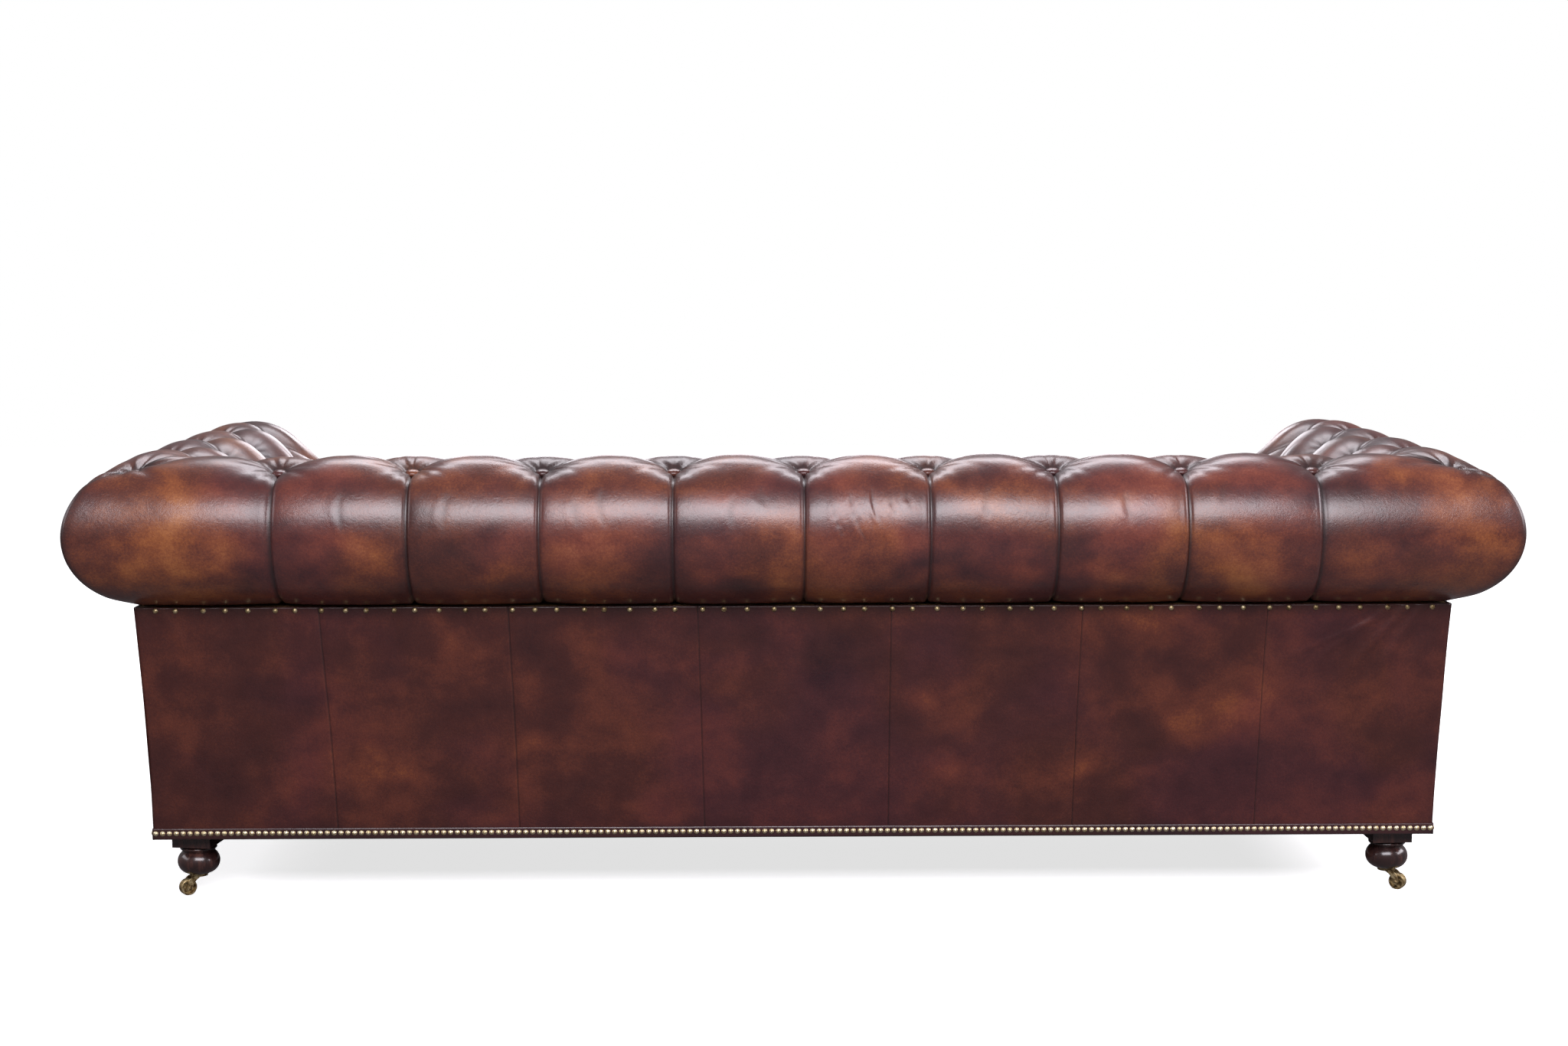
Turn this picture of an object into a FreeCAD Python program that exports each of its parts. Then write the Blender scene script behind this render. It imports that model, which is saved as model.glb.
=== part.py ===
import FreeCAD, Part
import math
import os
import re

import Sketcher
from FreeCAD import Placement, Rotation, Vector

# A long leather sofa with rolled, buttoned back and arms of one height, on bun feet with castors.
# Millimetres. X runs along the sofa, its front faces -Y and Z is up. The origin is on the floor
# under the middle of the sofa's outline.

# Sizes: every driving dimension is a cell of this sheet, with its name as the alias.
SIZES = (
    # outline
    ("overall_width", 2488.0),
    ("overall_depth", 989.0),
    ("overall_height", 790.0),
    ("roll_radius", 132.0),
    ("base_height", 111.4),
    ("deck_height", 330.0),
    ("seat_height", 475.0),
    # deep buttoning of the rolls and of the inside faces
    ("button_pitch", 223.4),
    ("arm_button_pitch", 215.0),
    ("top_row_angle", 75.0),
    ("second_row_angle", 122.0),
    ("under_roll_angle", -75.0),
    ("shoulder_bulge", -8.0),
    ("shoulder_rise", 66.0),
    ("third_row_bulge", 31.0),
    ("third_row_rise", 25.0),
    ("fourth_row_bulge", 52.0),
    ("fourth_row_share", 0.443),
    ("seat_bulge", 63.0),
    ("tuck_bulge", 46.0),
    ("face_swell", 3.0),
    ("top_button_depth", 28.0),
    ("button_depth", 32.0),
    ("seat_pleat_depth", 14.0),
    ("pleat_depth", 9.0),
    ("tuck_pleat_depth", 5.0),
    ("seam_dip", 2.0),
    ("mitre_button_share", 0.8),
    ("button_radius", 12.0),
    ("button_rim", 1.5),
    ("button_dome", 3.0),
    ("button_tip", 0.3),
    ("button_cone", 11.2),
    ("button_seat_gap", 0.7),
    # layers of the upholstery
    ("cover_layer", 42.0),
    ("former_radius", 60.0),
    ("hessian_thickness", 2.5),
    ("hessian_drop", 36.0),
    ("outside_thickness", 6.0),
    ("panel_top_out", 34.0),
    ("panel_middle_out", 23.5),
    ("panel_foot_out", 17.0),
    ("panel_bottom_out", 16.0),
    ("panel_top_gap", 1.0),
    ("panel_foot_height", 22.0),
    ("back_panel_count", 7.0),
    ("seam_groove", 1.2),
    ("seam_width", 3.0),
    ("band_thickness", 2.0),
    ("band_height", 20.0),
    ("border_front", 19.5),
    ("facing_thickness", 20.0),
    ("facing_inset", 6.0),
    ("facing_width", 150.0),
    ("facing_neck_in", 140.0),
    ("facing_waist_in", 150.0),
    ("facing_neck_drop", 12.0),
    ("facing_waist_rise", 50.0),
    ("facing_shoulder_angle", 150.0),
    ("facing_shoulder_swell", 6.0),
    ("facing_waist_draw", 2.0),
    ("soft_gap", 0.3),
    # nails
    ("nail_radius", 4.7),
    ("nail_dome", 3.0),
    ("nail_seat_gap", 0.05),
    ("base_nail_pitch", 12.0),
    ("base_nail_height", 11.1),
    ("roll_nail_pitch", 41.0),
    ("roll_nail_wander", 4.0),
    ("roll_nail_drop", 6.0),
    ("facing_nail_pitch", 14.0),
    ("facing_nail_inset", 7.0),
    # hardwood frame
    ("dust_cover", 2.0),
    ("rail_height", 120.0),
    ("rail_out", 10.0),
    ("rail_in", 41.0),
    ("post_out", 2.0),
    ("post_in", 51.0),
    ("post_width", 53.0),
    ("post_rise", 25.0),
    ("top_rail_height", 22.0),
    ("top_rail_out", 10.0),
    ("top_rail_in", 30.0),
    ("former_thickness", 18.0),
    ("nailing_rail_out", 26.0),
    ("nailing_rail_height", 32.0),
    ("tuck_rail_thickness", 25.0),
    ("tuck_rail_height", 45.0),
    ("stretcher_width", 45.0),
    ("stretcher_height", 40.0),
    ("block_side", 90.0),
    ("block_height", 45.0),
    # seat springing
    ("spring_wire", 1.9),
    ("spring_loop", 15.0),
    ("spring_half_width", 26.0),
    ("springs_per_bay", 3.0),
    ("spring_rest", 3.5),
    ("clip_height", 7.0),
    ("clip_length", 30.0),
    ("clip_width", 16.0),
    ("clip_bore_gap", 0.05),
    ("spring_cloth", 2.0),
    # loose seat cushions
    ("cushion_count", 3.0),
    ("cushion_gap", 3.0),
    ("cushion_side_gap", 3.0),
    ("cushion_front", 16.5),
    ("cushion_crown", 20.0),
    ("cushion_bulge", 7.0),
    ("cushion_draw", 6.0),
    ("cushion_side_crown", 5.0),
    # turned feet
    ("foot_across", 47.9),
    ("foot_back", 40.0),
    ("foot_front", 62.0),
    ("foot_cutout", 42.0),
    ("plinth_side", 70.0),
    ("plinth_height", 21.4),
    ("collar_radius", 31.0),
    ("neck_radius", 27.5),
    ("collar_height", 12.0),
    ("bun_radius", 37.0),
    ("bun_sole", 21.0),
    ("collar_bulge", 1.5),
    # castors
    ("castor_height", 38.5),
    ("socket_plate", 2.5),
    ("socket_radius", 17.0),
    ("sleeve_radius", 5.5),
    ("sleeve_depth", 28.0),
    ("stem_radius", 4.0),
    ("stem_gap", 0.05),
    ("stem_length", 26.0),
    ("swivel_gap", 0.4),
    ("swivel_disc", 3.0),
    ("swivel_radius", 15.0),
    ("wheel_radius", 14.5),
    ("wheel_width", 14.0),
    ("wheel_side_gap", 0.5),
    ("wheel_rim", 3.2),
    ("wheel_recess", 4.5),
    ("wheel_chamfer", 1.0),
    ("wheel_hub", 4.6),
    ("horn_thickness", 3.0),
    ("horn_boss", 5.0),
    ("horn_back_set", 3.0),
    ("horn_front_set", 8.0),
    ("horn_back_belly", 7.0),
    ("horn_front_belly", 3.5),
    ("horn_belly_rise", 12.0),
    ("castor_trail", 22.0),
    ("axle_radius", 1.95),
    ("axle_gap", 0.05),
    ("rivet_radius", 3.2),
    ("rivet_height", 1.4),
    ("rear_castor_turn", 35.0),
    ("front_castor_turn", 20.0),
)

# Lines that several pieces share, worked out from the sheet.
LINES = {
    "arm_line": "(overall_width / 2 - roll_radius)",
    "back_line": "(overall_depth / 2 - roll_radius)",
    "roll_height": "(overall_height - roll_radius)",
    "rail_bottom": "(base_height + dust_cover)",
    "rail_top": "(base_height + dust_cover + rail_height)",
    "post_top": "(overall_height - roll_radius + post_rise)",
    "panel_top": "(overall_height - 2 * roll_radius + panel_top_gap)",
    "facing_front": "(-overall_depth / 2 + nail_dome)",
    "facing_back": "(-overall_depth / 2 + nail_dome + facing_thickness)",
    "side_front": "(-overall_depth / 2 + nail_dome + facing_thickness + soft_gap)",
    "border_face": "(-overall_depth / 2 + border_front)",
    "front_rail_face": "(-overall_depth / 2 + border_front + outside_thickness)",
    "deck_edge": "(post_in + tuck_rail_thickness + soft_gap)",
    "deck_top": "(deck_height - soft_gap)",
    "spring_height": "(base_height + dust_cover + rail_height + spring_rest)",
    "clip_top": "(base_height + dust_cover + rail_height + clip_height)",
    "seat_in": "(roll_radius + seat_bulge)",
    "plinth_foot": "(base_height - plinth_height)",
    "bun_top": "(base_height - plinth_height - collar_height)",
    "socket_foot": "(castor_height - socket_plate)",
    "swivel_top": "(castor_height - socket_plate - swivel_gap)",
    "swivel_foot": "(castor_height - socket_plate - swivel_gap - swivel_disc)",
}

doc = FreeCAD.newDocument("sofa")
sheet = doc.addObject("Spreadsheet::Sheet", "sizes")
for row, (alias, value) in enumerate(SIZES, start=1):
    sheet.set("A%d" % row, alias)
    sheet.set("B%d" % row, str(value))
    sheet.setAlias("B%d" % row, alias)
doc.recompute()

ALIASES = {alias for alias, value in SIZES}


def formula(text):
    """Spell out the shared lines and point every size name at its cell."""
    while any(re.search(r"\b%s\b" % line, text) for line in LINES):
        for line, meaning in LINES.items():
            text = re.sub(r"\b%s\b" % line, meaning, text)
    return re.sub(r"\b[a-z_]+\b", lambda word: cell_name(word.group()), text)


def cell_name(word):
    return "sizes." + word if word in ALIASES else word


def number(text):
    """The value that a formula has now, in millimetres or degrees."""
    return float(sheet.evalExpression(formula(text)))


def bind(piece, **formulas):
    for name, text in formulas.items():
        piece.setExpression(name, formula(text))


def place(piece, x="0", y="0", z="0", turn=None):
    """Set where a piece stands, with an optional fixed turn, and bind its base to the sheet."""
    if turn is not None:
        piece.Placement = Placement(Vector(0, 0, 0), turn)
    piece.setExpression("Placement.Base.x", formula(x))
    piece.setExpression("Placement.Base.y", formula(y))
    piece.setExpression("Placement.Base.z", formula(z))


node_pieces = []


def name_node(piece, label):
    """Give a finished sub-part the name of its file."""
    piece.Label = label
    node_pieces.append(piece)
    return piece


def box(name, x, y, z):
    """A board whose two faces along each axis are given as formulas."""
    piece = doc.addObject("Part::Box", name)
    bind(piece, Length="(%s) - (%s)" % (x[1], x[0]))
    bind(piece, Width="(%s) - (%s)" % (y[1], y[0]))
    bind(piece, Height="(%s) - (%s)" % (z[1], z[0]))
    place(piece, x[0], y[0], z[0])
    return piece


def rod(name, radius, length, x, y, z, axis=Vector(0, 0, 1)):
    piece = doc.addObject("Part::Cylinder", name)
    bind(piece, Radius=radius, Height=length)
    place(piece, x, y, z, Rotation(Vector(0, 0, 1), axis))
    return piece


def group(label, pieces):
    """Like pieces that are fixed alike share one node, as separate solids."""
    compound = doc.addObject("Part::Compound", label)
    compound.Links = pieces
    return name_node(compound, label)


def cut(name, base, tool):
    result = doc.addObject("Part::Cut", name)
    result.Base = base
    result.Tool = tool
    return result


def span(low, high):
    return (low, high)


def mirrored_span(inner, outer, side):
    """The same stretch on the +X side, or on the -X side."""
    if side > 0:
        return (inner, outer)
    return ("-(%s)" % outer, "-(%s)" % inner)


SIDES = (("left", 1), ("right", -1))

# Base rails: four hardwood rails on edge, the two long ones between the two side ones.
for label, y in (
    ("front_base_rail", span("front_rail_face", "front_rail_face + rail_in + rail_out")),
    ("back_base_rail", span("back_line - rail_in", "back_line + rail_out")),
):
    rail = box(label, span("-(arm_line - rail_in)", "arm_line - rail_in"), y, span("rail_bottom", "rail_top"))
    name_node(rail, label)
for name, side in SIDES:
    label = name + "_base_rail"
    x = mirrored_span("arm_line - rail_in", "arm_line + rail_out", side)
    rail = box(label, x, span("side_front", "back_line + rail_out"), span("rail_bottom", "rail_top"))
    name_node(rail, label)

# Seat stretchers: two cross rails that keep the long rails apart under the springs.
stretchers = []
for index, side in enumerate((-1, 1)):
    middle = "(%d) * (arm_line - rail_in) / 3" % side
    x = span(middle + " - stretcher_width / 2", middle + " + stretcher_width / 2")
    y = span("front_rail_face + rail_in + rail_out", "back_line - rail_in")
    z = span("rail_bottom", "rail_bottom + stretcher_height")
    stretchers.append(box("stretcher_%d" % index, x, y, z))
group("seat_stretchers", stretchers)

# Corner blocks: triangular blocks glued into the four corners of the base, over the feet.
blocks = []
for name, side in SIDES:
    for end, y, depth in (
        ("front", "front_rail_face + rail_in + rail_out", 1),
        ("back", "back_line - rail_in", -1),
    ):
        body = doc.addObject("PartDesign::Body", "corner_block_%s_%s" % (end, name))
        sketch = body.newObject("Sketcher::SketchObject", "block_outline_%s_%s" % (end, name))
        plane = [p for p in body.Origin.OriginFeatures if p.Role == "XY_Plane"][0]
        sketch.AttachmentSupport = [(plane, "")]
        sketch.MapMode = "FlatFace"
        leg = number("block_side")
        corners = (Vector(0, 0, 0), Vector(-side * leg, 0, 0), Vector(0, depth * leg, 0))
        for start in range(3):
            sketch.addGeometry(Part.LineSegment(corners[start], corners[(start + 1) % 3]), False)
        for start in range(3):
            sketch.addConstraint(Sketcher.Constraint("Coincident", start, 2, (start + 1) % 3, 1))
        sketch.addConstraint(Sketcher.Constraint("Coincident", 0, 1, -1, 1))
        sketch.addConstraint(Sketcher.Constraint("Horizontal", 0))
        sketch.addConstraint(Sketcher.Constraint("Vertical", 2))
        across = sketch.addConstraint(Sketcher.Constraint("Distance", 0, leg))
        along = sketch.addConstraint(Sketcher.Constraint("Distance", 2, leg))
        sketch.setExpression("Constraints[%d]" % across, formula("block_side"))
        sketch.setExpression("Constraints[%d]" % along, formula("block_side"))
        pad = body.newObject("PartDesign::Pad", "block_pad_%s_%s" % (end, name))
        pad.Profile = sketch
        bind(pad, Length="block_height")
        body.Tip = pad
        place(body, "(%d) * (arm_line - rail_in)" % side, y, "rail_bottom")
        blocks.append(body)
group("corner_blocks", blocks)

# Back posts: uprights from the back base rail up into the roll. The two end ones stand in the
# corners and carry the arms too.
posts = []
post_places = []
for index in range(-2, 3):
    middle = "(%d) * (arm_line + post_out / 2 - post_in / 2) / 2" % index
    post_places.append((index, middle))
    x = span(middle + " - post_width / 2", middle + " + post_width / 2")
    y = span("back_line - post_in", "back_line + post_out")
    posts.append(box("back_post_%d" % (index + 2), x, y, span("rail_top", "post_top")))
group("back_posts", posts)

# Arm posts: one upright behind each facing and one half way along each arm.
arm_post_places = (
    ("front", "side_front + post_width / 2"),
    ("middle", "(side_front + back_line) / 2"),
)
posts = []
for name, side in SIDES:
    for end, y in arm_post_places:
        x = mirrored_span("arm_line - post_in", "arm_line + post_out", side)
        y_span = span(y + " - post_width / 2", y + " + post_width / 2")
        posts.append(box("arm_post_%s_%s" % (name, end), x, y_span, span("rail_top", "post_top")))
group("arm_posts", posts)

# Top rails: a rail on the heads of the posts, inside the roll, along the back and along each arm.
top_z = span("post_top", "post_top + top_rail_height")
back_top = box(
    "back_top_rail",
    span("-(arm_line + top_rail_out)", "arm_line + top_rail_out"),
    span("back_line - top_rail_in", "back_line + top_rail_out"),
    top_z,
)
name_node(back_top, "back_top_rail")
arm_tops = []
for name, side in SIDES:
    x = mirrored_span("arm_line - top_rail_in", "arm_line + top_rail_out", side)
    y = span("side_front", "back_line - top_rail_in")
    arm_tops.append(box("arm_top_rail_" + name, x, y, top_z))
group("arm_top_rails", arm_tops)

# Roll formers: plywood discs beside the posts, notched over the top rail, that give the rolls
# their round section.
formers = []
notch_z = span("post_top", "post_top + top_rail_height")


def former(name, x, y, axis, notch_x, notch_y):
    disc = rod(name + "_disc", "former_radius", "former_thickness", x, y, "roll_height", axis)
    return cut(name, disc, box(name + "_notch", notch_x, notch_y, notch_z))


for index, middle in post_places[1:-1]:
    start = middle + " + post_width / 2"
    formers.append(former(
        "back_former_%d" % (index + 2), start, "back_line", Vector(1, 0, 0),
        span(start, start + " + former_thickness"),
        span("back_line - top_rail_in", "back_line + top_rail_out"),
    ))
for name, side in SIDES:
    for end, y in arm_post_places:
        start = y + " + post_width / 2"
        formers.append(former(
            "arm_former_%s_%s" % (name, end), "(%d) * arm_line" % side, start, Vector(0, 1, 0),
            mirrored_span("arm_line - top_rail_in", "arm_line + top_rail_out", side),
            span(start, start + " + former_thickness"),
        ))
group("roll_formers", formers)

# Nailing rails: they stand out from the posts under the roll, and the covers are nailed to them.
nailing_z = span("panel_top - nailing_rail_height", "panel_top")
back_nailing = box(
    "back_nailing_rail",
    span("-(arm_line + nailing_rail_out)", "arm_line + nailing_rail_out"),
    span("back_line + post_out", "back_line + nailing_rail_out"),
    nailing_z,
)
name_node(back_nailing, "back_nailing_rail")
arm_nailing = []
for name, side in SIDES:
    x = mirrored_span("arm_line + post_out", "arm_line + nailing_rail_out", side)
    y = span("side_front", "back_line + post_out")
    arm_nailing.append(box("arm_nailing_rail_" + name, x, y, nailing_z))
group("arm_nailing_rails", arm_nailing)

# Tuck rails: rails on the inner faces of the posts, where the inside covers are pulled down.
tuck_z = span("deck_height - tuck_rail_height", "deck_height")
back_tuck = box(
    "back_tuck_rail",
    span("-(arm_line - post_in)", "arm_line - post_in"),
    span("back_line - post_in - tuck_rail_thickness", "back_line - post_in"),
    tuck_z,
)
name_node(back_tuck, "back_tuck_rail")
arm_tuck = []
for name, side in SIDES:
    x = mirrored_span("arm_line - post_in - tuck_rail_thickness", "arm_line - post_in", side)
    y = span("front_rail_face + soft_gap", "back_line - post_in - tuck_rail_thickness")
    arm_tuck.append(box("arm_tuck_rail_" + name, x, y, tuck_z))
group("arm_tuck_rails", arm_tuck)

# Seat springs: zigzag steel wire from the front rail to the back rail, each one bent flat from
# straight runs and half loops.
spring_front = number("front_rail_face + rail_in / 2")
spring_back = number("back_line - rail_in / 2")
loop = number("spring_loop")
run_half = number("spring_half_width") - loop
loop_count = 2 * int((spring_back - spring_front) / (4 * loop))
spring_start = (spring_front + spring_back) / 2 - loop_count * loop


def zigzag_path():
    """Runs along X, joined by half loops that step towards the back."""
    edges = []
    for turn in range(loop_count + 1):
        y = spring_start + 2 * loop * turn
        way = 1 if turn % 2 == 0 else -1
        edges.append(Part.makeLine(Vector(-way * run_half, y, 0), Vector(way * run_half, y, 0)))
        if turn < loop_count:
            bend = Vector(way * (run_half + loop), y + loop, 0)
            after = Vector(way * run_half, y + 2 * loop, 0)
            edges.append(Part.Arc(Vector(way * run_half, y, 0), bend, after).toShape())
    return Part.Wire(edges)


spring_section = Part.Wire(
    [Part.makeCircle(number("spring_wire"), Vector(-run_half, spring_start, 0), Vector(1, 0, 0))]
)
spring = zigzag_path().makePipeShell([spring_section], True, False)
springs_per_bay = int(number("springs_per_bay"))
spring_places = []
post_middles = [number(middle) for index, middle in post_places]
for bay_start, bay_end in zip(post_middles, post_middles[1:]):
    bay = bay_end - bay_start
    spring_places += [bay_start + bay * (step + 0.5) / springs_per_bay for step in range(springs_per_bay)]
springs = doc.addObject("Part::Feature", "seat_springs")
springs.Shape = Part.makeCompound(
    [spring.translated(Vector(x, 0, number("spring_height"))) for x in spring_places]
)
name_node(springs, "seat_springs")

# Spring clips: steel clips on the two rails that hold the end run of each spring.
clips = []
spring_ends = (spring_start, spring_start + 2 * loop * loop_count)
clip_size = Vector(number("clip_width"), number("clip_length"), number("clip_height"))
for x in spring_places:
    for y in spring_ends:
        corner = Vector(x - clip_size.x / 2, y - clip_size.y / 2, number("rail_top"))
        clip = Part.makeBox(clip_size.x, clip_size.y, clip_size.z, corner)
        bore_start = Vector(corner.x, y, number("spring_height"))
        bore = Part.makeCylinder(
            number("spring_wire + clip_bore_gap"), clip_size.x, bore_start, Vector(1, 0, 0)
        )
        clips.append(clip.cut(bore))
clip_set = doc.addObject("Part::Feature", "spring_clips")
clip_set.Shape = Part.makeCompound(clips)
name_node(clip_set, "spring_clips")

# Seat platform: a cloth over the springs and a firm pad on it.
deck_x = span("-(arm_line - deck_edge)", "arm_line - deck_edge")
deck_y = span("front_rail_face + soft_gap", "back_line - deck_edge")
cloth = box("spring_cloth", deck_x, deck_y, span("clip_top", "clip_top + spring_cloth"))
name_node(cloth, "spring_cloth")
deck_z = span("clip_top + spring_cloth + soft_gap", "deck_top")
name_node(box("seat_deck_pad", deck_x, deck_y, deck_z), "seat_deck_pad")

# Dust cover: a sheet tacked under the rails, with its corners cut out round the feet.
dust_z = span("base_height", "rail_bottom")
sheet_board = box(
    "dust_sheet",
    span("-(arm_line + rail_out)", "arm_line + rail_out"),
    span("front_rail_face", "back_line + rail_out"),
    dust_z,
)
cutouts = []
for name, side in SIDES:
    x = mirrored_span("arm_line - foot_across - foot_cutout", "arm_line + rail_out", side)
    rear_y = span("back_line - foot_back - foot_cutout", "back_line + rail_out")
    front_y = span("front_rail_face", "-overall_depth / 2 + foot_front + foot_cutout")
    cutouts.append(box("dust_cutout_rear_" + name, x, rear_y, dust_z))
    cutouts.append(box("dust_cutout_front_" + name, x, front_y, dust_z))
all_cutouts = doc.addObject("Part::Compound", "dust_cutouts")
all_cutouts.Links = cutouts
name_node(cut("dust_cover", sheet_board, all_cutouts), "dust_cover")

# Sections of the upholstery. A section point is (out, up): out is the distance outwards from the
# centre line of the roll and up is the height above the floor.
arm_line = number("arm_line")
back_line = number("back_line")
roll_height = number("roll_height")
roll_radius = number("roll_radius")
seat_in = number("seat_in")
cover_foot = number("deck_height + soft_gap")


def on_roll(angle, radius):
    angle = math.radians(angle)
    return (radius * math.cos(angle), roll_height + radius * math.sin(angle))


ROLL_ANGLES = [
    number("under_roll_angle + (top_row_angle - under_roll_angle) * %d / 8" % step) for step in range(9)
]
SECOND = number("second_row_angle")
SHOULDER = (-number("roll_radius + shoulder_bulge"), number("roll_height + shoulder_rise"))
THIRD = (-number("roll_radius + third_row_bulge"), number("roll_height + third_row_rise"))
FOURTH = (
    -number("roll_radius + fourth_row_bulge"),
    number("roll_height - fourth_row_share * (roll_height - seat_height)"),
)
SEAT = (-seat_in, number("seat_height"))
TUCK = (-number("roll_radius + tuck_bulge"), cover_foot)


def swollen_middle(low, high):
    swell = number("face_swell")
    return ((low[0] + high[0]) / 2 - swell, (low[1] + high[1]) / 2)


# The path of the cover: its points at every half row. Row 0 is the row of buttons along the top
# and row 3 the lowest one above the cushions; the rows below 0 run down the outer side.
HALF_ROWS = [on_roll(angle, roll_radius) for angle in ROLL_ANGLES]
HALF_ROWS += [
    on_roll((number("top_row_angle") + SECOND) / 2, roll_radius),
    on_roll(SECOND, roll_radius),
    SHOULDER,
    THIRD,
    swollen_middle(THIRD, FOURTH),
    FOURTH,
    swollen_middle(FOURTH, SEAT),
    SEAT,
    swollen_middle(SEAT, TUCK),
    TUCK,
]


def into_padding(index):
    """The direction square to the path at one of its points, into the padding."""
    before = HALF_ROWS[max(index - 1, 0)]
    after = HALF_ROWS[min(index + 1, len(HALF_ROWS) - 1)]
    along_out = after[0] - before[0]
    along_up = after[1] - before[1]
    length = math.hypot(along_out, along_up)
    return (-along_up / length, along_out / length)


COVER_PATH = [
    (index / 2 - 4, (point, into_padding(index))) for index, point in enumerate(HALF_ROWS)
]


def to_crease(value):
    """Distance to the nearest whole number, as a puff's height from 0 in the crease to 1."""
    return math.sin(math.pi * abs(value - round(value)))


# How much of a button's depth is left half way along a diagonal crease, and how square a puff is.
CREASE_RISE = 0.45
PUFF_SQUARENESS = 1.3


def between_creases(one, other):
    """The share of the full depth at a place, from its heights over the two nearest creases."""
    both = (1 - 2 * CREASE_RISE) * one * other
    return (1 - CREASE_RISE * (one + other) - both) ** PUFF_SQUARENESS


def pull_depth(column, row, pleat):
    """How deep the cover is drawn in. Buttons lie on whole columns in even rows and half-way
    between them in odd rows, diagonal creases join them and straight pleats run out from them."""
    if row < 0:
        top = number("top_button_depth") * (1 if pleat else number("mitre_button_share"))
        low = number("pleat_depth") if pleat else number("seam_dip")
        end = number("tuck_pleat_depth") if pleat else number("seam_dip")
        share = min(1.0, -row)
        fade = max(0.0, min(1.0, (-row - 1) / 3))
        depth = top * (1 - share) + (low * (1 - fade) + end * fade) * share
        puff = to_crease(column)
        return depth * between_creases(puff, puff)
    if row > 3:
        depth = number("seat_pleat_depth") if row < 4 else number("pleat_depth")
        return depth * (1 - to_crease(column - 0.5))
    deepest = number("top_button_depth")
    deepest += (number("button_depth") - deepest) * min(1.0, row)
    return deepest * between_creases(to_crease(column - row / 2), to_crease(column + row / 2))


def cover_depth(column, row, corner):
    """The depth at a station. corner runs from 0 at the last pleat to 1 in the mitre, where the
    outer side has a flat seam and the lower inside has one crease in place of buttons."""
    if corner > 0 and row > 1:
        straight_depth = pull_depth(column - corner, row, True)
        return straight_depth * (1 - corner) + number("pleat_depth") * corner
    return pull_depth(column, row, corner < 0.5)


def section(column, layer, corner=0.0):
    """The outline points of one cross-section, cover or padding, as two rows of points."""
    outer = []
    inner = []
    layer_depth = number("cover_layer")
    for row, ((out, up), (pull_out, pull_up)) in COVER_PATH:
        if layer == "cover":
            depth = cover_depth(column, row, corner)
            inner.append((out + pull_out * layer_depth, up + pull_up * layer_depth))
        else:
            depth = layer_depth + 2 * number("soft_gap")
        outer.append((out + pull_out * depth, up + pull_up * depth))
    if layer == "padding":
        inner = padding_inside()
    return outer, inner


def padding_inside():
    """The padding's inner side: round the formers, then flat on the hessian down to the seat."""
    radius = number("former_radius + soft_gap")
    face = -number("post_in + hessian_thickness + soft_gap")
    leave = 180 + math.degrees(math.acos(-face / radius))
    points = []
    roll_steps = 12
    start = number("under_roll_angle")
    for step in range(roll_steps + 1):
        points.append(on_roll(start + (leave - start) * step / roll_steps, radius))
    flat_top = points[-1][1]
    flat_steps = len(COVER_PATH) - len(points)
    for step in range(1, flat_steps + 1):
        points.append((face, flat_top + (cover_foot - flat_top) * step / flat_steps))
    return points


def straight(first, middle, last):
    along = (last - first).normalize()
    off = (middle - first) - along * (middle - first).dot(along)
    return off.Length < 0.01


def bend(first, middle, last):
    if straight(first, middle, last):
        return Part.makeLine(first, last)
    return Part.Arc(first, middle, last).toShape()


def curve_through(points):
    """Arcs through every second point, each over the point between."""
    return [bend(points[i], points[i + 1], points[i + 2]) for i in range(0, len(points) - 2, 2)]


def hook_wire(outline, seat_point):
    """One closed cross-section, out along the outer points and back along the inner ones."""
    outer = [seat_point(*point) for point in outline[0]]
    inner = [seat_point(*point) for point in reversed(outline[1])]
    edges = curve_through(outer)
    edges.append(Part.makeLine(outer[-1], inner[0]))
    edges += curve_through(inner)
    edges.append(Part.makeLine(inner[-1], outer[0]))
    return Part.Wire(edges)


def sewn(segments):
    """One solid from lofted stretches that share their end sections."""
    faces = []
    for wires in segments:
        faces += Part.makeLoft(wires, False, len(wires) == 2).Faces
    faces.append(Part.Face(segments[0][0]))
    faces.append(Part.Face(segments[-1][-1]))
    shell = Part.Shell(faces)
    shell.sewShape()
    solid = Part.Solid(shell)
    if solid.Volume < 0:
        solid.reverse()
    return solid


# Stations along the back and the arms. A station turns a section point into a place: whole
# columns are pleats, and the last stretch swings round to the mitre in the corner.
CORNER_STEPS = (0.0, 0.25, 0.5, 0.75, 1.0)


def back_place(x, corner_share, side):
    def seat_point(out, up):
        flat = x * (1 - corner_share) + (arm_line + out) * corner_share
        return Vector(side * flat, back_line + out, up)
    return seat_point


def arm_place(y_from_back, corner_share, side):
    def seat_point(out, up):
        flat = -y_from_back * (1 - corner_share) + out * corner_share
        return Vector(side * (arm_line + out), back_line + flat, up)
    return seat_point


def corner_wires(place_at, distance, first_column, layer, side):
    wires = []
    for share in CORNER_STEPS:
        outline = section(first_column + share, layer, share)
        wires.append(hook_wire(outline, place_at(distance, share, side)))
    return wires


pitch = number("button_pitch")
columns = int(arm_line / pitch - 0.5)
arm_pitch = number("arm_button_pitch")
arm_end = back_line - number("facing_back")
arm_columns = int(arm_end / arm_pitch - 0.3)


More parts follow.
